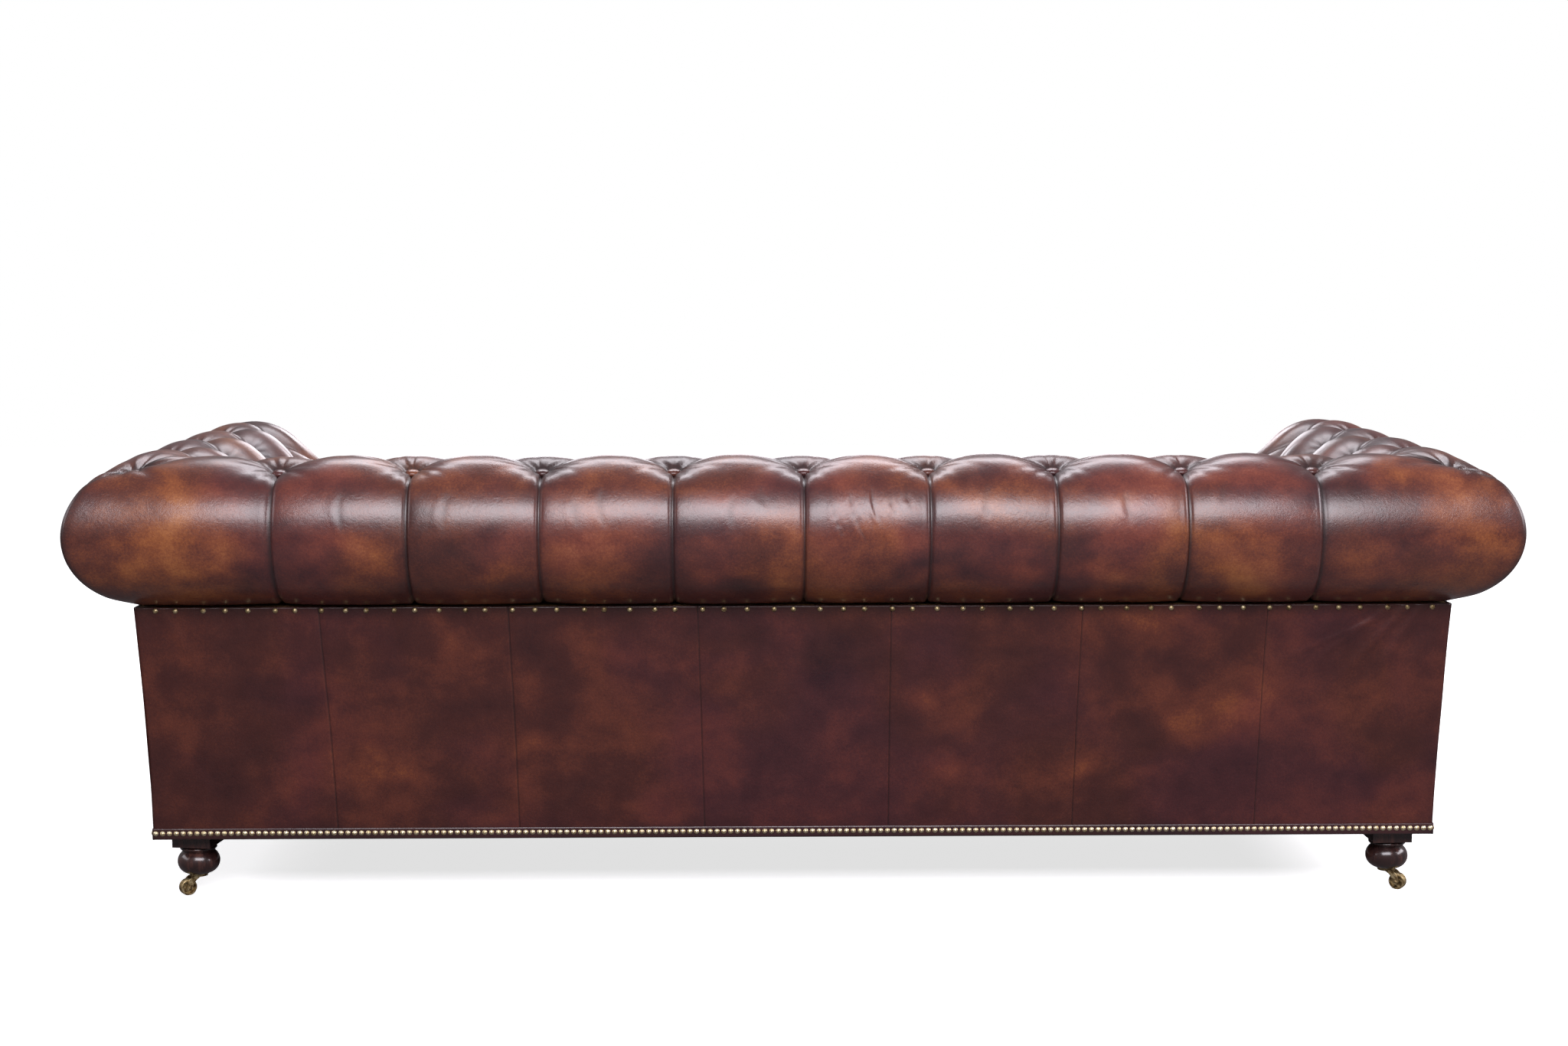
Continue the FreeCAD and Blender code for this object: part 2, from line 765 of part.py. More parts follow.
def back_segments(layer):
    """Stretches from the mitre on the right, along the back, to the mitre on the left."""
    right = corner_wires(back_place, columns * pitch, columns, layer, -1)
    left = corner_wires(back_place, columns * pitch, columns, layer, 1)
    segments = [list(reversed(right))]
    if layer == "padding":
        segments.append([right[0], left[0]])
    else:
        for column in range(-columns, columns):
            wires = []
            for quarter in range(5):
                at = column + quarter / 4
                wires.append(hook_wire(section(at, layer), back_place(at * pitch, 0.0, 1)))
            segments.append(wires)
    segments.append(left)
    return segments


def arm_segments(layer, side):
    """Stretches from the mitre in the corner forward to the facing."""
    corner = corner_wires(arm_place, arm_pitch, 1, layer, side)
    segments = [list(reversed(corner))]
    if layer == "padding":
        end = hook_wire(section(1, layer), arm_place(arm_end, 0.0, side))
        return segments + [[corner[0], end]]
    for column in range(1, arm_columns):
        wires = []
        for quarter in range(5):
            at = column + quarter / 4
            wires.append(hook_wire(section(at, layer), arm_place(at * arm_pitch, 0.0, side)))
        segments.append(wires)
    wires = []
    last = arm_columns * arm_pitch
    for quarter in range(5):
        share = quarter / 4
        distance = last + (arm_end - last) * share
        wires.append(hook_wire(section(arm_columns + share, layer), arm_place(distance, 0.0, side)))
    segments.append(wires)
    return segments


def feature(label, shape):
    piece = doc.addObject("Part::Feature", label)
    piece.Shape = shape
    return name_node(piece, label)


# Back and arm covers: leather over wadding, drawn down by buttons and pleats, in one piece from
# the nail line under the roll over the crest to the seat. Each padding is a plain foam layer.
feature("back_cover", sewn(back_segments("cover")))
feature("back_padding", sewn(back_segments("padding")))
for name, side in SIDES:
    feature(name + "_arm_cover", sewn(arm_segments("cover", side)))
    feature(name + "_arm_padding", sewn(arm_segments("padding", side)))

# Inside hessian: sheets tacked to the inner faces of the posts, behind the padding.
hessian_z = span("deck_height + soft_gap", "roll_height - hessian_drop")
hessian = [box(
    "back_hessian",
    span("-(arm_line - post_in - hessian_thickness)", "arm_line - post_in - hessian_thickness"),
    span("back_line - post_in - hessian_thickness", "back_line - post_in"),
    hessian_z,
)]
for name, side in SIDES:
    x = mirrored_span("arm_line - post_in - hessian_thickness", "arm_line - post_in", side)
    hessian.append(box("arm_hessian_" + name, x, span("side_front", "back_line - post_in"), hessian_z))
group("inside_hessian", hessian)


# Buttons: leather-covered domes, each with a cone behind that is drawn into the cover.
def button_solid():
    radius = number("button_radius")
    cone = number("button_cone")
    rim = cone + number("button_rim")
    top = rim + number("button_dome")
    tip = number("button_tip")
    foot = Vector(0, 0, number("button_seat_gap"))
    start = foot + Vector(tip, 0, 0)
    edge = Vector(radius, 0, cone)
    shoulder = Vector(radius, 0, rim)
    crown = Vector(0, 0, top)
    sphere = (radius ** 2 + (top - rim) ** 2) / (2 * (top - rim))
    half_way = math.asin(radius / sphere) / 2
    over = Vector(sphere * math.sin(half_way), 0, top - sphere * (1 - math.cos(half_way)))
    edges = [
        Part.makeLine(foot, start),
        Part.makeLine(start, edge),
        Part.makeLine(edge, shoulder),
        Part.Arc(shoulder, over, crown).toShape(),
        Part.makeLine(crown, foot),
    ]
    face = Part.Face(Part.Wire(edges))
    return face.revolve(Vector(0, 0, 0), Vector(0, 0, 1), 360)


button = button_solid()


def button_at(seat_point, normal):
    placed = button.copy()
    placed.Placement = Placement(seat_point, Rotation(Vector(0, 0, 1), normal))
    return placed


def path_point(row):
    return [point for at, point in COVER_PATH if at == row][0]


def buttons_of(place_at, station, along, side, first_row, corner_share=0.0):
    """The two buttons of one column, in every second row from the first."""
    result = []
    for row in (first_row, first_row + 2):
        (out, up), (pull_out, pull_up) = path_point(float(row))
        column = 0.0 if first_row == 0 else 0.5
        depth = pull_depth(column, row, True)
        seat = place_at(station, corner_share, side)(out + pull_out * depth, up + pull_up * depth)
        result.append(button_at(seat, along(-pull_out, -pull_up)))
    return result


back_buttons = []
for step in range(-2 * columns, 2 * columns + 1):
    back_buttons += buttons_of(
        back_place, step * pitch / 2, lambda out, up: Vector(0, out, up), 1, step % 2
    )
for name, side in SIDES:
    back_buttons += buttons_of(
        back_place, columns * pitch, lambda out, up: Vector(0, out, up), side, 1, 0.5
    )[:1]
    back_buttons += buttons_of(
        back_place, columns * pitch,
        lambda out, up, s=side: Vector(s * out / math.sqrt(2), out / math.sqrt(2), up), side, 0, 1.0
    )[:1]
feature("back_buttons", Part.makeCompound(back_buttons))
for name, side in SIDES:
    arm_buttons = []
    for step in range(2, 2 * arm_columns + 1):
        arm_buttons += buttons_of(
            arm_place, step * arm_pitch / 2, lambda out, up, s=side: Vector(s * out, 0, up), side,
            step % 2
        )
    arm_buttons += buttons_of(
        arm_place, arm_pitch, lambda out, up, s=side: Vector(s * out, 0, up), side, 1, 0.5
    )[:1]
    feature(name + "_arm_buttons", Part.makeCompound(arm_buttons))

# Outside covers: leather over board, from the nail line under the roll to the base, mitred at
# the corners. The back one is sewn from seven panels.
panel_top = number("panel_top")
base_height = number("base_height")
foot_height = base_height + number("panel_foot_height")
middle_height = (panel_top + foot_height) / 2
OUTSIDE = [
    (number("panel_top_out"), panel_top),
    (number("panel_middle_out"), middle_height),
    (number("panel_foot_out"), foot_height),
    (number("panel_bottom_out"), base_height),
]
thickness = number("outside_thickness")


def outside_wire(seat_point):
    top, middle, foot, bottom = [seat_point(*point) for point in OUTSIDE]
    inner_top = seat_point(OUTSIDE[0][0] - thickness, panel_top)
    inner_bottom = seat_point(OUTSIDE[3][0] - thickness, base_height)
    return Part.Wire([
        bend(top, middle, foot),
        Part.makeLine(foot, bottom),
        Part.makeLine(bottom, inner_bottom),
        Part.makeLine(inner_bottom, inner_top),
        Part.makeLine(inner_top, top),
    ])


def seam_cutter(x):
    """A shallow V groove down the back, where two panels are sewn together."""
    half = number("seam_width") / 2
    deep = number("seam_groove")
    wires = []
    for out, up in OUTSIDE:
        y = back_line + out
        corners = [Vector(x - half, y, up), Vector(x, y - deep, up), Vector(x + half, y, up),
                   Vector(x, y + deep, up)]
        wires.append(Part.makePolygon(corners + corners[:1]))
    return Part.makeLoft(wires, True, True)


outside_back = sewn([[
    outside_wire(back_place(0, 1.0, -1)),
    outside_wire(back_place(0, 0.0, 1)),
    outside_wire(back_place(0, 1.0, 1)),
]])
panel_count = int(number("back_panel_count"))
panel_width = 2 * (arm_line + number("panel_middle_out")) / panel_count
for seam in range(1, panel_count):
    outside_back = outside_back.cut(seam_cutter((seam - panel_count / 2) * panel_width))
feature("outside_back_cover", outside_back)
for name, side in SIDES:
    wires = [outside_wire(arm_place(0, 1.0, side)), outside_wire(arm_place(arm_end, 0.0, side))]
    feature("outside_%s_arm_cover" % name, sewn([wires]))

# Front border: leather over board below the cushions, between the two facings.
border_x = span("-(arm_line - facing_width - soft_gap)", "arm_line - facing_width - soft_gap")
border = box(
    "front_border_cover", border_x, span("border_face", "front_rail_face"), span("base_height", "deck_top")
)
name_node(border, "front_border_cover")


# Facings: padded boards in the shape of the arm's section that close the front of each arm.
def facing_outline(inset, seat_point):
    top_out = number("panel_top_out") - inset
    bottom_out = number("panel_bottom_out") - inset
    radius = roll_radius - inset
    join_up = roll_height - math.sqrt(radius ** 2 - top_out ** 2)
    neck = (-(number("facing_neck_in") - inset), number("roll_height - facing_neck_drop"))
    waist = (-(number("facing_waist_in") - inset), number("seat_height + facing_waist_rise"))
    foot_in = -(number("facing_width") - inset)
    low = base_height + max(0.0, inset - number("facing_inset"))
    start_angle = -math.degrees(math.acos(top_out / radius))
    roll_middle = on_roll((start_angle + 90) / 2, radius)
    roll_top = on_roll(90, radius)
    roll_late = on_roll(90 + (number("facing_shoulder_angle") - 90) / 2, radius)
    roll_end = on_roll(number("facing_shoulder_angle"), radius)
    points = [
        (bottom_out, low), (top_out, join_up), roll_middle, roll_top, roll_late, roll_end, neck,
        waist, (foot_in, number("deck_height")), (foot_in, low),
    ]
    at = [seat_point(*point) for point in points]
    shoulder_out = (roll_end[0] + neck[0]) / 2 - number("facing_shoulder_swell")
    shoulder_point = seat_point(shoulder_out, (roll_end[1] + neck[1]) / 2)
    slim_out = (neck[0] + waist[0]) / 2 - number("facing_waist_draw")
    slim_point = seat_point(slim_out, (neck[1] + waist[1]) / 2)
    return Part.Wire([
        Part.makeLine(at[0], at[1]),
        Part.Arc(at[1], at[2], at[3]).toShape(),
        Part.Arc(at[3], at[4], at[5]).toShape(),
        Part.Arc(at[5], shoulder_point, at[6]).toShape(),
        Part.Arc(at[6], slim_point, at[7]).toShape(),
        Part.makeLine(at[7], at[8]),
        Part.makeLine(at[8], at[9]),
        Part.makeLine(at[9], at[0]),
    ])


facing_front = number("facing_front")
facing_thickness = number("facing_thickness")
facing_place = {}
for name, side in SIDES:
    facing_place[side] = arm_place(back_line - facing_front, 0.0, side)
    board = Part.Face(facing_outline(number("facing_inset"), facing_place[side]))
    feature(name + "_arm_facing", board.extrude(Vector(0, facing_thickness, 0)))

# Base band: a folded strip of leather round the foot of the covers, under the nails.
band_top = base_height + number("band_height")
band = number("band_thickness")
foot_slope = (OUTSIDE[2][0] - OUTSIDE[3][0]) / (foot_height - base_height)


def band_wire(seat_point):
    low = OUTSIDE[3][0]
    high = low + foot_slope * (band_top - base_height)
    corners = [(low, base_height), (low + band, base_height), (high + band, band_top), (high, band_top)]
    places = [seat_point(*corner) for corner in corners]
    return Part.makePolygon(places + places[:1])


bands = [sewn([[
    band_wire(back_place(0, 1.0, -1)),
    band_wire(back_place(0, 0.0, 1)),
    band_wire(back_place(0, 1.0, 1)),
]])]
for name, side in SIDES:
    wires = [band_wire(arm_place(0, 1.0, side)), band_wire(arm_place(arm_end, 0.0, side))]
    bands.append(sewn([wires]))
front_half = number("arm_line - facing_width - soft_gap")
border_face = number("border_face")
bands.append(Part.makeBox(
    2 * front_half, band, band_top - base_height, Vector(-front_half, border_face - band, base_height)
))
feature("base_band", Part.makeCompound(bands))


# Nails: domed brass heads, seated on the leather.
nail_seat_gap = number("nail_seat_gap")


def nail_solid():
    head = number("nail_radius")
    dome = number("nail_dome")
    sphere_radius = (head ** 2 + dome ** 2) / (2 * dome)
    low_angle = math.degrees(math.asin((sphere_radius - dome) / sphere_radius))
    cap = Part.makeSphere(sphere_radius, Vector(0, 0, 0), Vector(0, 0, 1), low_angle, 90, 360)
    cap.translate(Vector(0, 0, dome - sphere_radius))
    return cap


nail = nail_solid()


def nail_at(seat_point, normal):
    placed = nail.copy()
    placed.Placement = Placement(seat_point, Rotation(Vector(0, 0, 1), normal)).multiply(nail.Placement)
    return placed


def even_places(low, high, pitch_wanted):
    """Places at an even pitch near the wanted one, half a pitch clear of both ends."""
    count = max(1, int(round((high - low) / pitch_wanted)))
    step = (high - low) / count
    return [low + step * (index + 0.5) for index in range(count)]


nail_up = base_height + number("base_nail_height")
nail_reach = number("base_nail_height + nail_radius")
seat_out = number("panel_bottom_out + band_thickness") + foot_slope * nail_reach + nail_seat_gap
base_nails = []
for x in even_places(-(arm_line + seat_out), arm_line + seat_out, number("base_nail_pitch")):
    base_nails.append(nail_at(Vector(x, back_line + seat_out, nail_up), Vector(0, 1, 0)))
for name, side in SIDES:
    for y in even_places(number("facing_back"), back_line + seat_out, number("base_nail_pitch")):
        base_nails.append(nail_at(Vector(side * (arm_line + seat_out), y, nail_up), Vector(side, 0, 0)))
for x in even_places(-front_half, front_half, number("base_nail_pitch")):
    base_nails.append(nail_at(Vector(x, border_face - band - nail_seat_gap, nail_up), Vector(0, -1, 0)))
feature("base_nails", Part.makeCompound(base_nails))

roll_nail_up = panel_top - number("roll_nail_drop")
roll_seat = number("panel_top_out") + 2 * nail_seat_gap
wander = number("roll_nail_wander")
WANDER_STEP = 2.4
roll_nails = []
reach = arm_line + number("panel_top_out") - number("roll_nail_pitch") / 3
for index, x in enumerate(even_places(-reach, reach, number("roll_nail_pitch"))):
    shifted = x + wander * math.sin(WANDER_STEP * index)
    roll_nails.append(nail_at(Vector(shifted, back_line + roll_seat, roll_nail_up), Vector(0, 1, 0)))
for name, side in SIDES:
    low = number("facing_back + roll_nail_pitch / 3")
    high = back_line + number("panel_top_out - roll_nail_pitch / 3")
    for index, y in enumerate(even_places(low, high, number("roll_nail_pitch"))):
        shifted = y + wander * math.sin(WANDER_STEP * index + side)
        seat = Vector(side * (arm_line + roll_seat), shifted, roll_nail_up)
        roll_nails.append(nail_at(seat, Vector(side, 0, 0)))
feature("roll_nails", Part.makeCompound(roll_nails))

facing_nails = []
nail_inset = number("facing_inset + facing_nail_inset")
for name, side in SIDES:
    outline = facing_outline(nail_inset, facing_place[side])
    track = Part.Wire(outline.OrderedEdges[:-1])
    count = int(round(track.Length / number("facing_nail_pitch"))) + 1
    for point in track.discretize(count):
        facing_nails.append(nail_at(point + Vector(0, -nail_seat_gap, 0), Vector(0, -1, 0)))
feature("facing_nails", Part.makeCompound(facing_nails))

# Seat cushions: three loose box cushions with a crowned top and sides drawn in between the
# corners. They rest on the deck and lift off.
cushion_total = int(number("cushion_count"))
seat_half = number("arm_line - seat_in - cushion_side_gap")
cushion_gap = number("cushion_gap")
cushion_width = (2 * seat_half - cushion_gap * (cushion_total - 1)) / cushion_total
cushion_front = number("-overall_depth / 2 + cushion_front")
cushion_rear = number("back_line - seat_in - cushion_side_gap")
cushion_low = number("deck_height + soft_gap")
seat_top = number("seat_height")
crown = number("cushion_crown")
side_crown = number("cushion_side_crown")
bulge = number("cushion_bulge")
draw = number("cushion_draw")


def cushion_wire(x, share):
    """One section across the cushion; share runs from 0 at a side to 1 half way along."""
    front = cushion_front + bulge + draw * share
    rear = cushion_rear - bulge - draw * share
    edge_up = seat_top - crown
    top_up = edge_up + side_crown + (crown - side_crown) * share
    middle_up = (cushion_low + edge_up) / 2
    front_low = Vector(x, front, cushion_low)
    front_high = Vector(x, front, edge_up)
    rear_high = Vector(x, rear, edge_up)
    rear_low = Vector(x, rear, cushion_low)
    return Part.Wire([
        Part.Arc(front_low, Vector(x, front - bulge, middle_up), front_high).toShape(),
        Part.Arc(front_high, Vector(x, (front + rear) / 2, top_up), rear_high).toShape(),
        Part.Arc(rear_high, Vector(x, rear + bulge, middle_up), rear_low).toShape(),
        Part.makeLine(rear_low, front_low),
    ])


CUSHION_NAMES = {1: ("seat_cushion",), 2: ("right", "left"), 3: ("right", "centre", "left")}
cushion_names = CUSHION_NAMES.get(cushion_total, tuple("seat_%d" % n for n in range(cushion_total)))
for index, name in enumerate(cushion_names):
    low_x = -seat_half + index * (cushion_width + cushion_gap)
    wires = []
    for step in range(7):
        share = math.sin(math.pi * step / 6)
        wires.append(cushion_wire(low_x + cushion_width * step / 6, share))
    feature(name + "_seat_cushion", Part.makeLoft(wires, True, False))


# Feet and castors. A body is made round its own vertical axis and then stood at its corner.
def plane_of(body, role):
    return [plane for plane in body.Origin.OriginFeatures if plane.Role == role][0]


def sketch_on(body, role, name):
    sketch = body.newObject("Sketcher::SketchObject", name)
    sketch.AttachmentSupport = [(plane_of(body, role), "")]
    sketch.MapMode = "FlatFace"
    return sketch


def pin_point(sketch, geometry, end, across, up):
    """Bind one end of a line or arc to formulas for its distance from the sketch's origin."""
    for kind, text in (("DistanceX", across), ("DistanceY", up)):
        at = number(text)
        index = sketch.addConstraint(Sketcher.Constraint(kind, -1, 1, geometry, end, at))
        sketch.setExpression("Constraints[%d]" % index, formula(text))


def outline_sketch(body, role, name, corners, bulges=None):
    """A closed outline through bound corners. bulges maps an edge to the point it arcs over."""
    sketch = sketch_on(body, role, name)
    bulges = bulges or {}
    places = [Vector(number(across), number(up), 0) for across, up in corners]
    total = len(corners)
    ends = []
    for index in range(total):
        start = places[index]
        end = places[(index + 1) % total]
        if index not in bulges:
            sketch.addGeometry(Part.LineSegment(start, end), False)
            ends.append((1, 2))
            continue
        over = Vector(number(bulges[index][0]), number(bulges[index][1]), 0)
        if (over - start).cross(end - over).z > 0:
            sketch.addGeometry(Part.Arc(start, over, end), False)
            ends.append((1, 2))
        else:
            sketch.addGeometry(Part.Arc(end, over, start), False)
            ends.append((2, 1))
    for index in range(total):
        after = (index + 1) % total
        sketch.addConstraint(Sketcher.Constraint("Coincident", index, ends[index][1], after, ends[after][0]))
    for index, (across, up) in enumerate(corners):
        pin_point(sketch, index, ends[index][0], across, up)
    for index in bulges:
        sketch.addConstraint(Sketcher.Constraint("Radius", index, sketch.Geometry[index].Radius))
    return sketch


def revolve(body, sketch, name):
    turned = body.newObject("PartDesign::Revolution", name)
    turned.Profile = sketch
    turned.ReferenceAxis = (sketch, ["V_Axis"])
    turned.Angle = 360
    return turned


CORNERS = (
    ("rear_left", 1, "back_line - foot_back", "rear"),
    ("rear_right", -1, "back_line - foot_back", "rear"),
    ("front_left", 1, "-overall_depth / 2 + foot_front", "front"),
    ("front_right", -1, "-overall_depth / 2 + foot_front", "front"),
)
PLINTH_TURN = {"rear_left": -8.5, "rear_right": 1.5, "front_left": 3.0, "front_right": -4.0}

# Feet: each one is a square block, a collar and a bun, turned from one piece of hardwood and
# bored for the castor's socket.
for name, side, y, end in CORNERS:
    body = doc.addObject("PartDesign::Body", name + "_foot_body")
    half = "plinth_side / 2"
    block = outline_sketch(
        body, "XY_Plane", name + "_plinth_outline",
        [("-" + half, "-" + half), (half, "-" + half), (half, half), ("-" + half, half)],
    )
    block.AttachmentOffset = Placement(Vector(0, 0, number("plinth_foot")), Rotation())
    block.setExpression("AttachmentOffset.Base.z", formula("plinth_foot"))
    plinth = body.newObject("PartDesign::Pad", name + "_plinth")
    plinth.Profile = block
    bind(plinth, Length="plinth_height + dust_cover")
    turning = outline_sketch(
        body, "XZ_Plane", name + "_turning",
        [
            ("sleeve_radius", "castor_height"),
            ("bun_sole", "castor_height"),
            ("neck_radius", "bun_top"),
            ("collar_radius", "bun_top + collar_height * 0.35"),
            ("collar_radius", "bun_top + collar_height * 0.75"),
            ("neck_radius", "plinth_foot"),
            ("0", "plinth_foot"),
            ("0", "castor_height + sleeve_depth"),
            ("sleeve_radius", "castor_height + sleeve_depth"),
        ],
        bulges={
            1: ("bun_radius", "(castor_height + bun_top) / 2"),
            3: ("collar_radius + collar_bulge", "bun_top + collar_height * 0.55"),
        },
    )
    revolve(body, turning, name + "_turned")
    body.Tip = body.Group[-1]
    turn = Rotation(Vector(0, 0, 1), PLINTH_TURN[name])
    place(body, "(%d) * (arm_line - foot_across)" % side, y, "0", turn)
    name_node(body, name + "_foot")

# Castor sockets: a brass plate under each foot with a sleeve up inside it.
sockets = []
for name, side, y, end in CORNERS:
    body = doc.addObject("PartDesign::Body", name + "_socket")
    outline = outline_sketch(
        body, "XZ_Plane", name + "_socket_outline",
        [
            ("stem_radius + stem_gap", "socket_foot"),
            ("socket_radius", "socket_foot"),
            ("socket_radius", "castor_height"),
            ("sleeve_radius", "castor_height"),
            ("sleeve_radius", "castor_height + sleeve_depth - soft_gap"),
            ("stem_radius + stem_gap", "castor_height + sleeve_depth - soft_gap"),
        ],
    )
    revolve(body, outline, name + "_socket_turned")
    body.Tip = body.Group[-1]
    place(body, "(%d) * (arm_line - foot_across)" % side, y, "0")
    sockets.append(body)
group("castor_sockets", sockets)


def castor_turn(side, end):
    """The wheels trail outwards, the rear ones backwards too and the front ones forwards."""
    lean = number("rear_castor_turn") if end == "rear" else -number("front_castor_turn")
    return Rotation(Vector(0, 0, 1), lean if side > 0 else 180 - lean)


# Horns: a brass swivel disc with its stem, and two curved cheeks down to the axle.
for name, side, y, end in CORNERS:
    body = doc.addObject("PartDesign::Body", name + "_castor_horn_body")
    cheek = outline_sketch(
        body, "XZ_Plane", name + "_cheek",
        [
            ("-swivel_radius + horn_back_set", "swivel_foot + swivel_disc / 2"),
            ("castor_trail - horn_boss * 0.954", "wheel_radius + horn_boss * 0.3"),
            ("castor_trail + horn_boss * 0.954", "wheel_radius + horn_boss * 0.3"),
            ("swivel_radius - horn_front_set", "swivel_foot + swivel_disc / 2"),
        ],
        bulges={
            0: ("castor_trail - horn_boss - horn_back_belly", "wheel_radius + horn_belly_rise"),
            1: ("castor_trail", "wheel_radius - horn_boss"),
            2: ("castor_trail + horn_boss - horn_front_belly", "wheel_radius + horn_belly_rise"),
        },
    )
    cheeks = body.newObject("PartDesign::Pad", name + "_cheeks")
    cheeks.Profile = cheek
    cheeks.SideType = "Symmetric"
    bind(cheeks, Length="wheel_width + 2 * wheel_side_gap + 2 * horn_thickness")
    slot = outline_sketch(
        body, "XZ_Plane", name + "_wheel_slot",
        [
            ("-2 * swivel_radius", "-wheel_radius"),
            ("castor_trail + 2 * wheel_radius", "-wheel_radius"),
            ("castor_trail + 2 * wheel_radius", "swivel_foot"),
            ("-2 * swivel_radius", "swivel_foot"),
        ],
    )
    gap = body.newObject("PartDesign::Pocket", name + "_wheel_gap")
    gap.Profile = slot
    gap.SideType = "Symmetric"
    bind(gap, Length="wheel_width + 2 * wheel_side_gap")
    bore_sketch = sketch_on(body, "XZ_Plane", name + "_axle_bore_outline")
    bore_centre = Vector(number("castor_trail"), number("wheel_radius"), 0)
    bore_sketch.addGeometry(Part.Circle(bore_centre, Vector(0, 0, 1), number("axle_radius")), False)
    pin_point(bore_sketch, 0, 3, "castor_trail", "wheel_radius")
    bore_size = bore_sketch.addConstraint(Sketcher.Constraint("Radius", 0, number("axle_radius")))
    bore_sketch.setExpression("Constraints[%d]" % bore_size, formula("axle_radius + axle_gap / 2"))
    bore = body.newObject("PartDesign::Pocket", name + "_axle_bore")
    bore.Profile = bore_sketch
    bore.SideType = "Symmetric"
    bind(bore, Length="4 * wheel_width")
    stem = outline_sketch(
        body, "XZ_Plane", name + "_stem_outline",
        [
            ("0", "swivel_foot"),
            ("swivel_radius", "swivel_foot"),
            ("swivel_radius", "swivel_top"),
            ("stem_radius", "swivel_top"),
            ("stem_radius", "swivel_top + stem_length"),
            ("0", "swivel_top + stem_length"),
        ],
    )
    revolve(body, stem, name + "_stem")
    body.Tip = body.Group[-1]
    place(body, "(%d) * (arm_line - foot_across)" % side, y, "0", castor_turn(side, end))
    name_node(body, name + "_castor_horn")


# Wheels and axles are turned about the wheel's own axle, which lies along Y before the castor
# is turned to its place.
def stand_at_axle(body, side, y, end):
    turn = castor_turn(side, end)
    trail = turn.multVec(Vector(1, 0, 0))
    x = "(%d) * (arm_line - foot_across) + castor_trail * (%.9f)" % (side, trail.x)
    place(body, x, "%s + castor_trail * (%.9f)" % (y, trail.y), "wheel_radius",
          turn.multiply(Rotation(Vector(1, 0, 0), 90)))


# Axles: a brass pin riveted over at both ends outside the cheeks.
for name, side, y, end in CORNERS:
    body = doc.addObject("PartDesign::Body", name + "_castor_axle_body")
    inner = "wheel_width / 2 + wheel_side_gap + horn_thickness"
    pin = outline_sketch(
        body, "XZ_Plane", name + "_axle_outline",
        [
            ("0", "-(%s) - rivet_height" % inner),
            ("rivet_radius / 2", "-(%s) - rivet_height" % inner),
            ("rivet_radius", "-(%s) - rivet_height / 3" % inner),
            ("rivet_radius", "-(%s)" % inner),
            ("axle_radius", "-(%s)" % inner),
            ("axle_radius", inner),
            ("rivet_radius", inner),
            ("rivet_radius", "%s + rivet_height / 3" % inner),
            ("rivet_radius / 2", "%s + rivet_height" % inner),
            ("0", "%s + rivet_height" % inner),
        ],
    )
    revolve(body, pin, name + "_axle_turned")
    body.Tip = body.Group[-1]
    stand_at_axle(body, side, y, end)
    name_node(body, name + "_castor_axle")

# Wheels: brass wheels with a rim, a hub and a recessed web.
for name, side, y, end in CORNERS:
    body = doc.addObject("PartDesign::Body", name + "_castor_wheel_body")
    half = "wheel_width / 2"
    tread = outline_sketch(
        body, "XZ_Plane", name + "_wheel_outline",
        [
            ("axle_radius + axle_gap", "-" + half),
            ("wheel_hub", "-" + half),
            ("wheel_hub", "-%s + wheel_recess" % half),
            ("wheel_radius - wheel_rim", "-%s + wheel_recess" % half),
            ("wheel_radius - wheel_rim", "-" + half),
            ("wheel_radius - wheel_chamfer", "-" + half),
            ("wheel_radius", "-%s + wheel_chamfer" % half),
            ("wheel_radius", "%s - wheel_chamfer" % half),
            ("wheel_radius - wheel_chamfer", half),
            ("wheel_radius - wheel_rim", half),
            ("wheel_radius - wheel_rim", "%s - wheel_recess" % half),
            ("wheel_hub", "%s - wheel_recess" % half),
            ("wheel_hub", half),
            ("axle_radius + axle_gap", half),
        ],
    )
    revolve(body, tread, name + "_wheel_turned")
    body.Tip = body.Group[-1]
    stand_at_axle(body, side, y, end)
    name_node(body, name + "_castor_wheel")

# Check every object, then write one file per sub-part.
doc.recompute()
for piece in doc.Objects:
    faults = [state for state in piece.State if state in ("Invalid", "Error")]
    if faults:
        raise RuntimeError("%s is %s" % (piece.Label, ", ".join(faults)))
os.makedirs("parts", exist_ok=True)
for piece in node_pieces:
    shape = piece.Shape
    if shape.isNull() or not shape.isValid() or shape.Volume <= 0:
        raise RuntimeError("%s has no valid solid" % piece.Label)
    shape.exportStep(os.path.join("parts", piece.Label + ".step"))
    print("%-28s %4d solids %12.0f mm3" % (piece.Label, len(shape.Solids), shape.Volume))
print("%d sub-parts" % len(node_pieces))
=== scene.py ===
import math

import bpy
import numpy as np
from mathutils import Matrix, Vector


